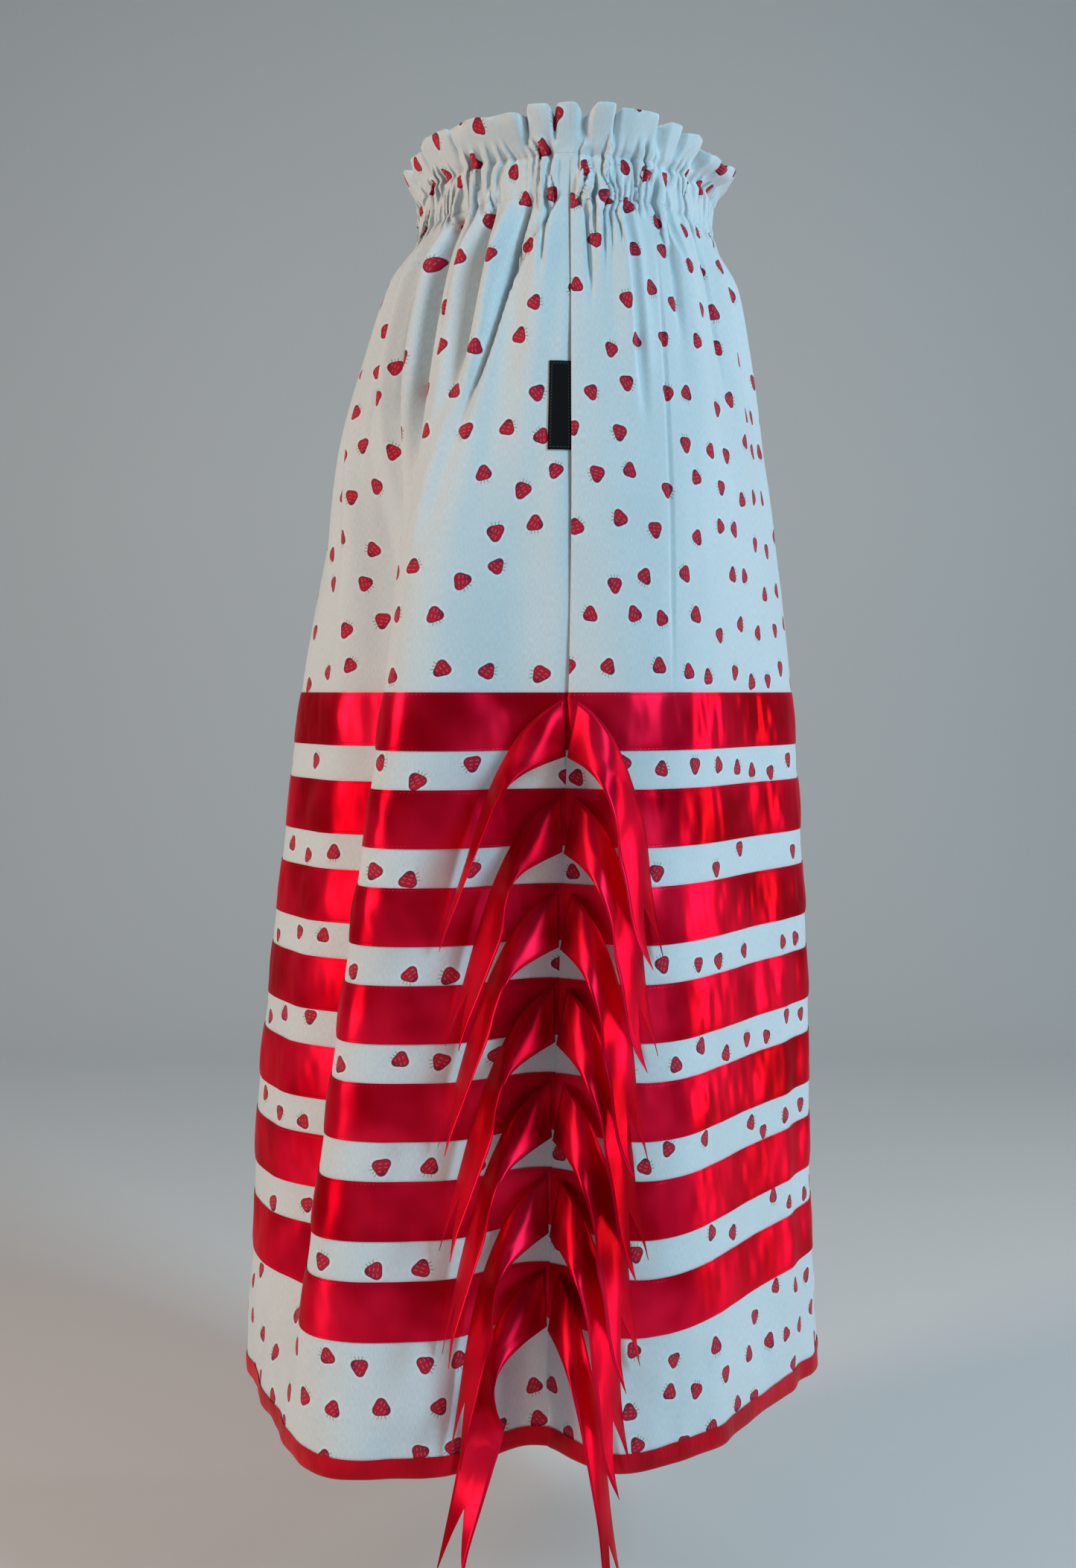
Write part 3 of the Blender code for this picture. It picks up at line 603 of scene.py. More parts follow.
def cloth_row(panel, drop, share):
    """Points on the panel's outer face at one drop. Below the hem it runs straight down."""
    level = min(drop, HEM)
    x, y, walked = outline(panel, level)
    distance = share * walked[-1]
    ahead = np.minimum(distance + HEADING_STEP, walked[-1])
    behind = np.maximum(ahead - 2 * HEADING_STEP, 0.0)
    along_x = np.interp(ahead, walked, x) - np.interp(behind, walked, x)
    along_y = np.interp(ahead, walked, y) - np.interp(behind, walked, y)
    length = np.hypot(along_x, along_y)
    along_x, along_y = along_x / length, along_y / length
    place = FIRST_PLACE[panel] + share
    flat_reach = FLAT_AT_SEAM[panel]
    open_share = smooth_step(from_seam(place), 0.5 * flat_reach, flat_reach)
    out, along, rise = ruffle_moves(place, level)
    pleats, leaning = pleat_moves(place, level)
    out = out + open_share * pleats + falls_out(place, level) + wrinkles_out(place, level)
    to_seam = np.minimum(share, 1.0 - share) * walked[-1]
    groove = SEAM_GROOVES[panel]
    sewn_in = smooth_step(level, CASING_TOP, GROOVE_FULL)
    out = out - sewn_in * groove.depth * np.clip(1.0 - to_seam / groove.reach, 0.0, 1.0) ** 2
    along = along * smooth_step(from_seam(place), 0.0, HELD_AT_SEAM) + leaning * open_share
    x_here = np.interp(distance, walked, x) + out * along_y + along * along_x
    y_here = np.interp(distance, walked, y) - out * along_x + along * along_y
    z_here = -drop + hem_lift(panel, share, drop) + rise
    return np.stack([x_here, y_here, z_here], axis=1)


def cloth_grid(panel, drops, share):
    return np.array([cloth_row(panel, drop, share) for drop in drops])


def grid_normals(grid):
    """The outward direction at each point of a grid of rows."""
    across = np.gradient(grid, axis=1)
    down = np.gradient(grid, axis=0)
    normal = np.cross(down, across)
    return normal / np.linalg.norm(normal, axis=2, keepdims=True)


def cut_width(drop):
    """Width of the flat cut, which widens evenly from its top to the hem."""
    share = np.clip((np.asarray(drop, float) - RUFFLE_TOP) / (HEM - RUFFLE_TOP), 0.0, 1.0)
    return CUT_TOP_WIDTH + (CUT_HEM_WIDTH - CUT_TOP_WIDTH) * share


def add_piece(name, node, grid, flat, material):
    """A sheet through a grid of points, with its flat pattern in metres as UVs. It takes
    the place of one solid, in one material, and stays with the body."""
    rows, columns = grid.shape[:2]
    mesh = bpy.data.meshes.new(name)
    first = np.arange(rows - 1)[:, None] * columns + np.arange(columns - 1)[None, :]
    quads = np.stack([first, first + columns, first + columns + 1, first + 1], axis=2).reshape(-1, 4)
    mesh.from_pydata(grid.reshape(-1, 3).tolist(), [], quads.tolist())
    layer = mesh.uv_layers.new(name="UVMap")
    corners = np.empty(len(mesh.loops), dtype=np.int32)
    mesh.loops.foreach_get("vertex_index", corners)
    layer.data.foreach_set("uv", flat.reshape(-1, 2)[corners].astype(np.float32).ravel())
    mesh.shade_smooth()
    mesh.materials.append(material)
    piece = bpy.data.objects.new(name, mesh)
    bpy.context.scene.collection.objects.link(piece)
    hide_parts(node)
    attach(piece, "root")
    return piece


def flat_grid(columns, rows):
    """The flat pattern of a straight piece: where each column and each row lies in it."""
    return np.stack(np.meshgrid(columns, rows), axis=2)


def thicken(piece, thickness, offset):
    modifier = piece.modifiers.new("thickness", "SOLIDIFY")
    modifier.thickness = thickness
    modifier.offset = offset


def panel_drops():
    """Levels of a panel's grid, finest at the ruffle and the gathers."""
    ruffle = np.linspace(RUFFLE_TOP, CASING_TOP, RUFFLE_LEVELS)[:-1]
    casing = np.linspace(CASING_TOP, CASING_LEVELS_END, CASING_LEVELS)[:-1]
    body = np.linspace(CASING_LEVELS_END, HEM, BODY_LEVELS)
    return np.concatenate([ruffle, casing, body])


def flat_pattern(panel, drops):
    """The flat pattern of a panel: metres across from its middle, metres down the cloth."""
    across = (PANEL_SHARES - 0.5)[None, :] * cut_width(drops)[:, None]
    down = np.repeat(drops[:, None], len(PANEL_SHARES), axis=1)
    return np.stack([across + FIRST_PLACE[panel], down], axis=2)


def add_panel(panel, material):
    """A panel: the outer cloth up to the ruffle's folded edge, then the turned-in layer."""
    drops = panel_drops()
    outer = cloth_grid(panel, drops, PANEL_SHARES)
    outward = grid_normals(outer)
    turned = drops <= CASING_BOTTOM + TURNED_IN_PAST_CASING
    inner = outer[turned] - outward[turned] * FOLDED_THICKNESS
    fold_edge = outer[:1] - outward[:1] * FOLDED_THICKNESS / 2
    fold_edge[:, :, 2] += FOLDED_THICKNESS / 2
    grid = np.concatenate([inner[::-1], fold_edge, outer])
    flat = flat_pattern(panel, drops)
    turned_flat = flat[turned]
    turned_flat[:, :, 1] = 2 * RUFFLE_TOP - turned_flat[:, :, 1]
    pattern = np.concatenate([turned_flat[::-1], flat[:1], flat])
    piece = add_piece(f"cloth_{panel}", f"panel_{panel}", grid, pattern, material)


def ribbon_waves(wave, place, lane, row):
    """Waves of one ribbon, unlike those of the other rows."""
    return wave.size * noise(place * wave.along, lane * wave.down + 5 * row, wave.seed + row)


def add_ribbon(panel, row, material):
    """One ribbon, stitched flat to the panel along both its edges."""
    top = RIBBON_TOPS[row]
    across = np.linspace(0.0, 1.0, RIBBON_LANES + 1)
    grid = cloth_grid(panel, top + across * RIBBON_WIDTH, TRIM_SHARES)
    seated = np.sin(math.pi * across) ** 0.5
    place = (FIRST_PLACE[panel] + TRIM_SHARES)[None, :]
    lane = across[:, None]
    slant = RIBBON_SLANT * (lane - 0.5)
    broad = ribbon_waves(RIBBON_BROAD, place + slant, lane, row)
    fine = ribbon_waves(RIBBON_FINE, place - slant, lane, row)
    height = RIBBON_ABOVE + seated[:, None] * (RIBBON_PUFF + broad + fine)
    grid = grid + grid_normals(grid) * height[:, :, None]
    flat = flat_grid(TRIM_SHARES * panel_width(panel, top), across * RIBBON_WIDTH)
    name = f"{panel}_{row + 1}"
    return add_piece(f"satin_{name}", f"ribbon_{name}", grid, flat, material)


def add_binding(panel, material):
    """The binding folded over the raw hem, a little uneven as sewn."""
    across = np.linspace(0.0, 1.0, BINDING_LANES + 1)
    grid = cloth_grid(panel, HEM - BINDING_HEIGHT + across * BINDING_HEIGHT, TRIM_SHARES)
    outward = grid_normals(grid)
    place = FIRST_PLACE[panel] + TRIM_SHARES
    roll = uneven(BINDING_ROLL, place[None, :], across[:, None])
    height = BINDING_ABOVE + np.sin(math.pi * across)[:, None] * (BINDING_PUFF + roll)
    outer = grid + outward * height[:, :, None]
    under = grid[-1:].copy()
    under[:, :, 2] -= BINDING_BELOW
    inner = (grid - outward * BINDING_BEHIND)[::-1]
    whole = np.concatenate([outer, under, inner])
    length = float(panel_width(panel, HEM))
    flat = flat_grid(TRIM_SHARES * length, np.linspace(0.0, 2 * BINDING_HEIGHT, len(whole)))
    piece = add_piece(f"binding_{panel}", f"hem_binding_{panel}", whole, flat, material)


def add_tab(material):
    """The bare woven tab, its long edge in the left side seam."""
    width = panel_width("front", LABEL_TOP_DROP)
    share = np.linspace(1.0 - LABEL_WIDTH / width, 1.0 - SEAM_SHARE, TAB_COLUMNS + 1)
    down = np.linspace(0.0, LABEL_LENGTH, TAB_ROWS + 1)
    grid = cloth_grid("front", LABEL_TOP_DROP + down, share)
    grid = grid + grid_normals(grid) * TAB_ABOVE
    flat = flat_grid(np.linspace(0.0, LABEL_WIDTH, len(share)), down)
    thicken(add_piece("woven_tab", "label", grid, flat, material), TAB_THICKNESS, -1)


def tail_edge_point(side, panel, out, drop, proud):
    """A point that a free end passes, so far from the seam and so proud of the cloth."""
    level = min(drop, HEM)
    angle = math.radians(seam_bearing(side, level))
    away = np.array([math.cos(angle), math.sin(angle), 0.0])
    share = out / panel_width(panel, level)
    starts_here = (side, panel) in (("left", "back"), ("right", "front"))
    share = share if starts_here else 1.0 - share
    x, y, walked = outline(panel, level)
    distance = share * walked[-1]
    point = np.array([np.interp(distance, walked, x), np.interp(distance, walked, y), -drop])
    point[2] += hem_lift(panel, share, drop)
    return point + away * proud


def smooth_curve(points, steps):
    """A curve through all points, with so many steps between two of them."""
    points = np.array(points)
    before = np.vstack([2 * points[0] - points[1], points, 2 * points[-1] - points[-2]])
    curve = []
    for index in range(len(points) - 1):
        a, b, c, d = before[index:index + 4]
        for step in range(steps):
            t = step / steps
            curve.append(0.5 * (
                2 * b + (c - a) * t + (2 * a - 5 * b + 4 * c - d) * t ** 2
                + (3 * b - a - 3 * c + d) * t ** 3
            ))
    return np.array(curve + [points[-1]])


def tail_edges(side, panel, row):
    """The two edges of a free end: it leaves the seam, rolls outwards and hangs down."""
    row_spread, row_reach, row_face = (column[row] for column in TAIL_ROWS[side, panel])
    top = RIBBON_TOPS[row]
    highs = []
    lows = []
    for number, place in enumerate(TAIL_STATIONS[panel]):
        hanging = float(smooth_step(number, 0, TAIL_HANGS_FROM))
        spread = 1.0 + (row_spread - 1.0) * min(number, 1)
        reach = 1.0 + (row_reach - 1.0) * hanging
        face = 1.0 + (row_face - 1.0) * hanging
        out_up = place.out_up * spread
        out_low = out_up + (place.out_low - place.out_up) * face
        fall = place.drop_low - place.drop_up
        standing_out = math.sqrt(max(RIBBON_WIDTH ** 2 - fall ** 2 - (out_up - out_low) ** 2, 0.0))
        highs.append(tail_edge_point(side, panel, out_up, top + place.drop_up * reach, place.proud_up))
        lows.append(tail_edge_point(
            side, panel, out_low, top + place.drop_low * reach, place.proud_up + standing_out
        ))
    return smooth_curve(highs, TAIL_STEPS), smooth_curve(lows, TAIL_STEPS)


def points_at(curve, steps):
    """Points on a curve, so many of its own steps from its start."""
    numbers = np.arange(len(curve))
    return np.stack([np.interp(steps, numbers, curve[:, axis]) for axis in range(3)], axis=1)


def tail_grid(high, low, lanes):
    """Points of a free end between its two edges, cut to a swallow tail."""
    last = len(high) - 1
    notch_start = last - NOTCH_STATIONS * TAIL_STEPS
    grid = []
    for lane in lanes:
        end = notch_start + (last - notch_start) * abs(2.0 * lane - 1.0)
        steps = np.arange(len(high), dtype=float) * end / last
        line_high = points_at(high, steps)
        grid.append(line_high + (points_at(low, steps) - line_high) * lane)
    return np.array(grid).transpose(1, 0, 2)


def tail_relief(row, count, lanes):
    """How far a free end curls and waves out of its own surface, not where it is sewn."""
    steps = np.arange(count, dtype=float)[:, None]
    rolled = smooth_step(steps, 0.0, TAIL_STEPS * TAIL_SEWN_STATIONS)
    curl = TAIL_CURL * rolled * np.sin(math.pi * lanes)[None, :]
    along = steps / TAIL_STEPS * TAIL_WAVES.along + 9.0 * row
    waves = noise(along, lanes[None, :] * TAIL_WAVES.down, TAIL_WAVES.seed + row)
    return curl + TAIL_WAVES.size * rolled * waves


def add_tail(side, panel, row, material):
    """The free end of one ribbon."""
    lanes = np.linspace(0.0, 1.0, TAIL_LANES + 1)
    grid = tail_grid(*tail_edges(side, panel, row), lanes)
    normal = grid_normals(grid)
    outward = grid[:, :, :2] / np.linalg.norm(grid[:, :, :2], axis=2, keepdims=True)
    if (normal[:, :, :2] * outward).sum() < 0:
        normal = -normal
    grid = grid + normal * tail_relief(row, len(grid), lanes)[:, :, None]
    walked = np.concatenate([[0.0], np.cumsum(np.linalg.norm(np.diff(grid[:, 0], axis=0), axis=1))])
    flat = flat_grid(lanes * RIBBON_WIDTH, walked)[:, :, ::-1]
    name = f"{side}_{panel}_{row + 1}"
    piece = add_piece(f"end_{name}", f"tail_{name}", grid, flat, material)
    thicken(piece, TAIL_THICKNESS, 0)
    return piece


def set_sockets(node, values):
    for name, value in values.items():
        node.inputs[name].default_value = value


class Graph:
    """Adds shader nodes to one material and joins them."""

    def __init__(self, name):
        self.material = bpy.data.materials.new(name)
        self.material.use_nodes = True
        self.tree = self.material.node_tree
        self.surface = self.tree.nodes["Principled BSDF"]

    def join(self, socket, value):
        if isinstance(value, bpy.types.NodeSocket):
            self.tree.links.new(value, socket)
        else:
            socket.default_value = value

    def finish(self, tone, height, distance, strength):
        """Joins the colour and the fine relief to the surface."""
        self.join(self.surface.inputs["Base Color"], tone)
        self.join(self.surface.inputs["Normal"], self.relief(height, distance, strength))
        return self.material

    def node(self, kind, *values, **settings):
        """A shader node with its settings, and values or links on its first sockets."""
        node = self.tree.nodes.new(kind)
        for name, setting in settings.items():
            setattr(node, name, setting)
        for socket, value in zip(node.inputs, values):
            self.join(socket, value)
        return node

    def math(self, operation, first, second=0.0):
        return self.node("ShaderNodeMath", first, second, operation=operation).outputs[0]

    def plus(self, first, second):
        return self.math("ADD", first, second)

    def minus(self, first, second):
        return self.math("SUBTRACT", first, second)

    def times(self, first, second):
        return self.math("MULTIPLY", first, second)

    def over(self, first, second):
        return self.math("DIVIDE", first, second)

    def ripple(self, value, pitch):
        """A sine wave that comes back after each pitch."""
        return self.math("SINE", self.times(value, 2.0 * math.pi / pitch))

    def length(self, vector):
        return self.node("ShaderNodeVectorMath", vector, operation="LENGTH").outputs["Value"]

    def stretch(self, vector, scales):
        return self.node("ShaderNodeVectorMath", vector, scales, operation="MULTIPLY").outputs[0]

    def combine(self, x, y, z=0.0):
        return self.node("ShaderNodeCombineXYZ", x, y, z).outputs[0]

    def separate(self, vector):
        return self.node("ShaderNodeSeparateXYZ", vector).outputs

    def flat(self):
        """The flat pattern's coordinates, in metres."""
        return self.node("ShaderNodeUVMap", uv_map="UVMap").outputs[0]

    def place(self):
        return self.node("ShaderNodeTexCoord").outputs["Object"]

    def noise(self, vector, scale, detail, distortion=0.0):
        node = self.node("ShaderNodeTexNoise", vector)
        set_sockets(node, {"Scale": scale, "Detail": detail, "Distortion": distortion})
        return node.outputs[0]

    def chance(self, vector):
        node = self.node("ShaderNodeTexWhiteNoise", vector, noise_dimensions="3D")
        return self.separate(node.outputs["Color"])

    def between(self, value, start, end, low=0.0, high=1.0):
        """Runs smoothly from low to high while the value runs from start to end."""
        values = (value, start, end, low, high)
        return self.node("ShaderNodeMapRange", *values, interpolation_type="SMOOTHSTEP").outputs[0]

    def band(self, value, start, full, fading, end):
        """1 while the value is between full and fading, 0 before start and after end."""
        return self.times(self.between(value, start, full), self.between(value, fading, end, 1.0, 0.0))

    def mix(self, share, first, second):
        node = self.node("ShaderNodeMix", share, data_type="RGBA")
        self.join(node.inputs[6], first)
        self.join(node.inputs[7], second)
        return node.outputs[2]

    def relief(self, height, distance, strength):
        node = self.node("ShaderNodeBump")
        set_sockets(node, {"Strength": strength, "Distance": distance})
        self.join(node.inputs["Height"], height)
        return node.outputs[0]


def colour(red, green, blue):
    return (red, green, blue, 1.0)


# The print: a staggered layout of berries, each at its own uneven place
BERRY_PITCH = 0.03175
BERRY_SHIFT = 0.0258
BERRY_JITTER = 0.0150
BERRIES_LEFT_OUT = 0.10
BERRY_RADIUS = 0.0054
SMALLEST_BERRY = 0.94
BERRY_SIZE_SPREAD = 0.12
BERRY_CORNERS = 0.13
SEED_LINE_PITCH = 0.0025
SEED_BREAK_PITCH = 0.0038
SEED_SLANT = (0.82, 0.57)
PLACE_DICE = 3.7
SIZE_DICE = 9.1
LEAF_SPOKES = 17.0
FLESH = colour(0.52, 0.005, 0.030)
SHADED_FLESH = colour(0.26, 0.003, 0.034)
BERRY_RIM = colour(0.085, 0.002, 0.030)
SEED = colour(0.74, 0.16, 0.20)
LEAF = colour(0.20, 0.27, 0.12)
HALO = colour(0.95, 0.95, 0.96)


def berry_cell(graph):
    """Where a point lies from the middle of its berry, turned as it is, and two dice."""
    u, v, _ = graph.separate(graph.flat())
    down = graph.over(graph.plus(v, BERRY_SHIFT), BERRY_PITCH)
    row = graph.math("FLOOR", down)
    odd = graph.math("PINGPONG", row, 1.0)
    across = graph.plus(graph.over(u, BERRY_PITCH), graph.times(odd, 0.5))
    column = graph.math("FLOOR", across)
    dice = graph.chance(graph.combine(column, row, PLACE_DICE))

    def centred(cell_place, cell, die):
        inside = graph.minus(graph.minus(cell_place, cell), 0.5)
        shift = graph.times(graph.minus(die, 0.5), BERRY_JITTER)
        return graph.minus(graph.times(inside, BERRY_PITCH), shift)

    x = centred(across, column, dice[0])
    y = centred(down, row, dice[1])
    turn = graph.times(dice[2], 2.0 * math.pi)
    cosine = graph.math("COSINE", turn)
    sine = graph.math("SINE", turn)
    side = graph.plus(graph.times(x, cosine), graph.times(y, sine))
    up = graph.minus(graph.times(y, cosine), graph.times(x, sine))
    return side, up, graph.chance(graph.combine(column, row, SIZE_DICE))


def berry_seeds(graph, side, up, reach):
    """Short slanting dashes inside the rim."""
    slant_side, slant_up = SEED_SLANT
    along = graph.plus(graph.times(side, slant_side), graph.times(up, slant_up))
    other = graph.minus(graph.times(up, slant_side), graph.times(side, slant_up))
    lines = graph.between(graph.ripple(along, SEED_LINE_PITCH), 0.35, 0.8)
    broken = graph.between(graph.ripple(other, SEED_BREAK_PITCH), -0.6, 0.2)
    return graph.times(graph.times(lines, broken), graph.between(reach, 0.70, 0.86, 0.65, 0.0))


def berry_leaves(graph, angle, reach):
    """A crown of narrow leaves at the berry's top."""
    spoke = graph.math("SINE", graph.times(angle, LEAF_SPOKES))
    from_top = graph.math("ABSOLUTE", graph.minus(angle, math.pi / 2))
    at_top = graph.between(from_top, 0.50, 0.85, 1.0, 0.0)
    crown = graph.times(graph.band(reach, 0.90, 1.02, 1.25, 1.62), at_top)
    return graph.times(crown, graph.between(spoke, -0.1, 0.5))


def berry_print(graph, ground):
    """Small strawberries, each turned its own way, on the cloth's ground colour."""
    side, up, dice = berry_cell(graph)
    angle = graph.math("ARCTAN2", up, side)
    corner = graph.math("COSINE", graph.times(graph.plus(angle, math.pi / 2), 3.0))
    size = graph.plus(graph.times(dice[0], BERRY_SIZE_SPREAD), SMALLEST_BERRY)
    rim = graph.times(graph.plus(graph.times(corner, BERRY_CORNERS), 1.0), size)
    reach = graph.over(graph.length(graph.combine(side, up)), graph.times(rim, BERRY_RADIUS))
    printed = graph.math("GREATER_THAN", dice[1], BERRIES_LEFT_OUT)

    shaded_side = graph.between(graph.over(side, BERRY_RADIUS), 0.1, 0.9)
    fill = graph.mix(shaded_side, FLESH, SHADED_FLESH)
    fill = graph.mix(graph.times(graph.between(reach, 0.80, 0.98), 0.85), fill, BERRY_RIM)
    fill = graph.mix(graph.times(berry_seeds(graph, side, up, reach), 0.80), fill, SEED)

    halo = graph.times(graph.band(reach, 1.0, 1.1, 1.18, 1.4), graph.times(printed, 0.30))
    leaves = graph.times(berry_leaves(graph, angle, reach), graph.times(printed, 0.62))
    painted = graph.mix(leaves, graph.mix(halo, ground, HALO), LEAF)
    berry = graph.between(reach, 0.96, 1.04, 1.0, 0.0)
    return graph.mix(graph.times(berry, printed), painted, fill)


STITCH_LENGTH = 0.0028
STITCH_HALF_WIDTH = 0.0004
RIBBON_STITCH_INSET = 0.0016


def stitches(graph, along, across, line):
    """A row of stitches, 1 on each stitch, that runs where across equals line."""
    away = graph.math("ABSOLUTE", graph.minus(across, line))
    row = graph.between(away, 0.5 * STITCH_HALF_WIDTH, 1.5 * STITCH_HALF_WIDTH, 1.0, 0.0)
    return graph.times(row, graph.between(graph.ripple(along, STITCH_LENGTH), -0.7, 0.0))


THREAD_PITCH = 0.00055
COTTON_THIN = colour(0.66, 0.73, 0.77)
COTTON_THICK = colour(0.74, 0.82, 0.86)
COTTON_SOFT = colour(0.62, 0.69, 0.73)


def cotton_material():
    """Plain weave with slubs and small crumples, and stitches along the casing."""
    graph = Graph("printed cotton")
    flat = graph.flat()
    slubs = graph.noise(graph.stretch(flat, (1400.0, 260.0, 1.0)), 1.0, 2.0)
    soft = graph.noise(graph.place(), 14.0, 3.0)
    ground = graph.mix(graph.between(slubs, 0.30, 0.70), COTTON_THIN, COTTON_THICK)
    ground = graph.mix(graph.between(soft, 0.35, 0.70, 0.0, 0.35), ground, COTTON_SOFT)
    set_sockets(graph.surface, {
        "Roughness": 0.82, "Specular IOR Level": 0.25, "Sheen Weight": 0.15, "Sheen Roughness": 0.5,
    })
    u, v, _ = graph.separate(flat)
    weave = graph.times(graph.ripple(u, THREAD_PITCH), graph.ripple(v, THREAD_PITCH))
    crumple = graph.noise(graph.place(), 38.0, 3.0, 0.4)
    height = graph.plus(graph.times(weave, 0.035), crumple)
    for line in (PINCH_DROP, CASING_BOTTOM):
        height = graph.minus(height, graph.times(stitches(graph, u, v, line), 0.5))
    return graph.finish(berry_print(graph, ground), height, 0.0016, 0.55)


SATIN_DEEP = colour(0.50, 0.0008, 0.012)
SATIN_BRIGHT = colour(0.92, 0.0085, 0.046)


def satin_material(name, stitched):
    """Satin: its floats run along the ribbon, so light stretches across it."""
    graph = Graph(name)
    flat = graph.flat()
    threads = graph.noise(graph.stretch(flat, (60.0, 5000.0, 1.0)), 1.0, 2.0)
    clouds = graph.noise(graph.place(), 16.0, 2.0)
    tone = graph.mix(graph.between(clouds, 0.35, 0.65), SATIN_DEEP, SATIN_BRIGHT)
    set_sockets(graph.surface, {
        "Metallic": 0.60, "IOR": 1.12, "Roughness": 0.35,
        "Anisotropic": 0.75, "Anisotropic Rotation": 0.25,
        "Specular IOR Level": 0.35, "Specular Tint": colour(1.0, 0.12, 0.18),
        "Sheen Weight": 0.12, "Sheen Roughness": 0.35, "Sheen Tint": colour(1.0, 0.12, 0.22),
    })
    height = graph.times(threads, 0.10)
    if stitched:
        u, v, _ = graph.separate(flat)
        from_edge = graph.math("MINIMUM", v, graph.minus(RIBBON_WIDTH, v))
        height = graph.minus(height, stitches(graph, u, from_edge, RIBBON_STITCH_INSET))
    return graph.finish(tone, height, 0.0006, 0.35)


TAB_RIB_PITCH = 0.0006
TAB_STITCH_PITCH = 0.0022
TAB_BLACK = colour(0.004, 0.004, 0.005)
TAB_THREAD = colour(0.050, 0.058, 0.062)


def label_material():
    """A bare black ribbed tab with one row of stitches round its edge."""
    graph = Graph("black woven tab")
    u, v, _ = graph.separate(graph.flat())
    from_side = graph.math("MINIMUM", u, graph.minus(LABEL_WIDTH, u))
    from_end = graph.math("MINIMUM", v, graph.minus(LABEL_LENGTH, v))
    inset = graph.math("MINIMUM", from_side, from_end)
    dash = graph.ripple(graph.plus(u, v), TAB_STITCH_PITCH)
    stitch = graph.times(graph.band(inset, 0.0011, 0.0015, 0.0018, 0.0022), graph.between(dash, -0.4, 0.1))
    set_sockets(graph.surface, {"Roughness": 0.70, "Specular IOR Level": 0.15})
    height = graph.plus(graph.times(graph.ripple(v, TAB_RIB_PITCH), 0.5), stitch)
    return graph.finish(graph.mix(stitch, TAB_BLACK, TAB_THREAD), height, 0.0003, 0.6)


BINDING_DEEP = colour(0.44, 0.0015, 0.010)
BINDING_BRIGHT = colour(0.66, 0.003, 0.018)


def binding_material():
    """Red cotton binding with fine threads, puckered where it is sewn."""
    graph = Graph("red binding")
    flat = graph.flat()
    clouds = graph.noise(graph.place(), 30.0, 3.0)
    tone = graph.mix(graph.between(clouds, 0.3, 0.7), BINDING_DEEP, BINDING_BRIGHT)
    set_sockets(graph.surface, {
        "Roughness": 0.48, "Specular IOR Level": 0.20, "Specular Tint": colour(1.0, 0.25, 0.25),
        "Sheen Weight": 0.02,
    })
    threads = graph.noise(graph.stretch(flat, (900.0, 900.0, 1.0)), 1.0, 2.0)
    puckers = graph.noise(graph.stretch(flat, (160.0, 40.0, 1.0)), 1.0, 3.0)
    return graph.finish(tone, graph.plus(graph.times(threads, 0.15), puckers), 0.0012, 0.6)


def add_skirt():
    cotton = cotton_material()
    satin = satin_material("stitched red satin", True)
    loose_satin = satin_material("loose red satin", False)
    binding = binding_material()
    for panel in ("front", "back"):
        add_panel(panel, cotton)
        add_binding(panel, binding)
        for row in range(RIBBON_ROWS):
            ribbon = add_ribbon(panel, row, satin)
            ends = [add_tail(side, panel, row, loose_satin) for side in ("left", "right")]
            length = float(panel_width(panel, RIBBON_TOPS[row] + RIBBON_WIDTH / 2))
    add_tab(label_material())


# The stage: one pale sheet that is the floor and curves up into the backdrop
FLOOR_LEVEL = -1.06
STAGE_HALF_WIDTH = 6.0
STAGE_FRONT = 4.0
STAGE_BACK = -3.2
STAGE_CURVE = 1.2
STAGE_TOP = 4.5
STAGE_CURVE_STEPS = 16


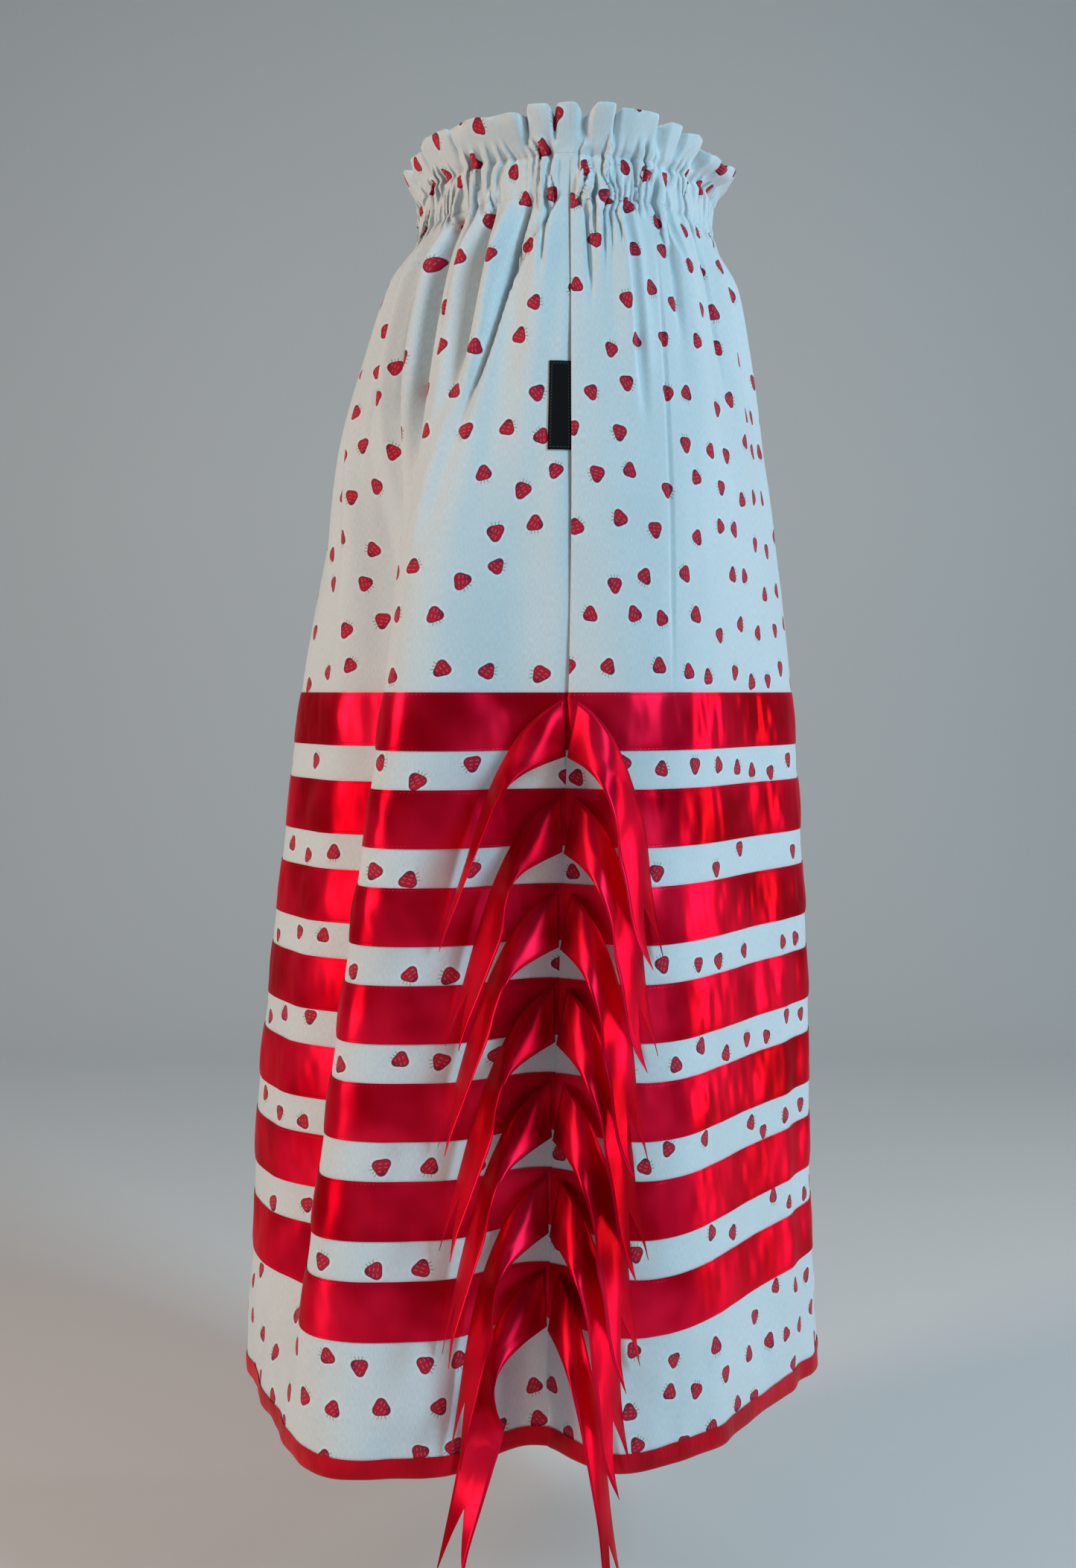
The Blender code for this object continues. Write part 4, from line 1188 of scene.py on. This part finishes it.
def add_stage():
    profile = [(STAGE_FRONT, FLOOR_LEVEL), (STAGE_BACK + STAGE_CURVE, FLOOR_LEVEL)]
    for step in range(1, STAGE_CURVE_STEPS + 1):
        turn = math.pi / 2 * step / STAGE_CURVE_STEPS
        profile.append((
            STAGE_BACK + STAGE_CURVE * (1 - math.sin(turn)),
            FLOOR_LEVEL + STAGE_CURVE * (1 - math.cos(turn)),
        ))
    profile.append((STAGE_BACK, STAGE_TOP))
    points = []
    for x, z in profile:
        points += [(x, -STAGE_HALF_WIDTH, z), (x, STAGE_HALF_WIDTH, z)]
    faces = [(2 * i, 2 * i + 1, 2 * i + 3, 2 * i + 2) for i in range(len(profile) - 1)]
    mesh = bpy.data.meshes.new("stage")
    mesh.from_pydata(points, [], faces)
    mesh.shade_smooth()
    graph = Graph("pale stage")
    set_sockets(graph.surface, {"Base Color": colour(0.78, 0.77, 0.76), "Roughness": 0.9})
    mesh.materials.append(graph.material)
    stage = bpy.data.objects.new("stage", mesh)
    bpy.context.scene.collection.objects.link(stage)


LIGHTS = table(
    "name place width height power tint",
    ("window", (1.95, 2.15, 1.3), 0.8, 1.6, 67.0, (0.49, 0.83, 1.0)),
    ("warm window", (1.15, -2.2, 0.4), 0.6, 1.8, 38.0, (1.0, 0.78, 0.61)),
    ("back strip", (-0.3, 2.1, -0.4), 0.2, 1.8, 13.0, (1.0, 0.80, 0.78)),
    ("top", (-0.4, 0.0, 2.2), 2.0, 2.0, 11.0, (0.90, 0.95, 1.0)),
)
AIM = Vector((0.0, 0.0, -0.42))
WORLD_LIGHT = (0.57, 0.66, 0.74)
WORLD_STRENGTH = 0.14


def add_lights():
    for light in LIGHTS:
        lamp = bpy.data.lights.new(light.name, "AREA")
        lamp.shape = "RECTANGLE"
        lamp.size = light.width
        lamp.size_y = light.height
        lamp.energy = light.power
        lamp.color = light.tint
        shown = bpy.data.objects.new(light.name, lamp)
        shown.location = light.place
        shown.rotation_euler = (AIM - Vector(light.place)).to_track_quat("-Z", "Y").to_euler()
        bpy.context.scene.collection.objects.link(shown)
    world = bpy.data.worlds.new("studio")
    bpy.context.scene.world = world
    world.use_nodes = True
    backdrop = world.node_tree.nodes["Background"]
    set_sockets(backdrop, {"Color": colour(*WORLD_LIGHT), "Strength": WORLD_STRENGTH})


def add_camera():
    """Level, looking at the left side seam, shifted down as the photo is framed."""
    lens = bpy.data.cameras.new("camera")
    lens.sensor_width = SENSOR
    lens.lens = SENSOR * FOCAL_PIXELS / PHOTO_HEIGHT
    lens.shift_y = (HORIZON_PIXEL - PHOTO_HEIGHT / 2) / PHOTO_HEIGHT
    camera = bpy.data.objects.new("camera", lens)
    camera.location = CAMERA_PLACE
    camera.rotation_euler = (math.radians(90), 0.0, math.radians(90))
    bpy.context.scene.collection.objects.link(camera)
    bpy.context.scene.camera = camera


add_skirt()
add_stage()
add_lights()
add_camera()
bpy.context.scene.view_settings.view_transform = "Standard"
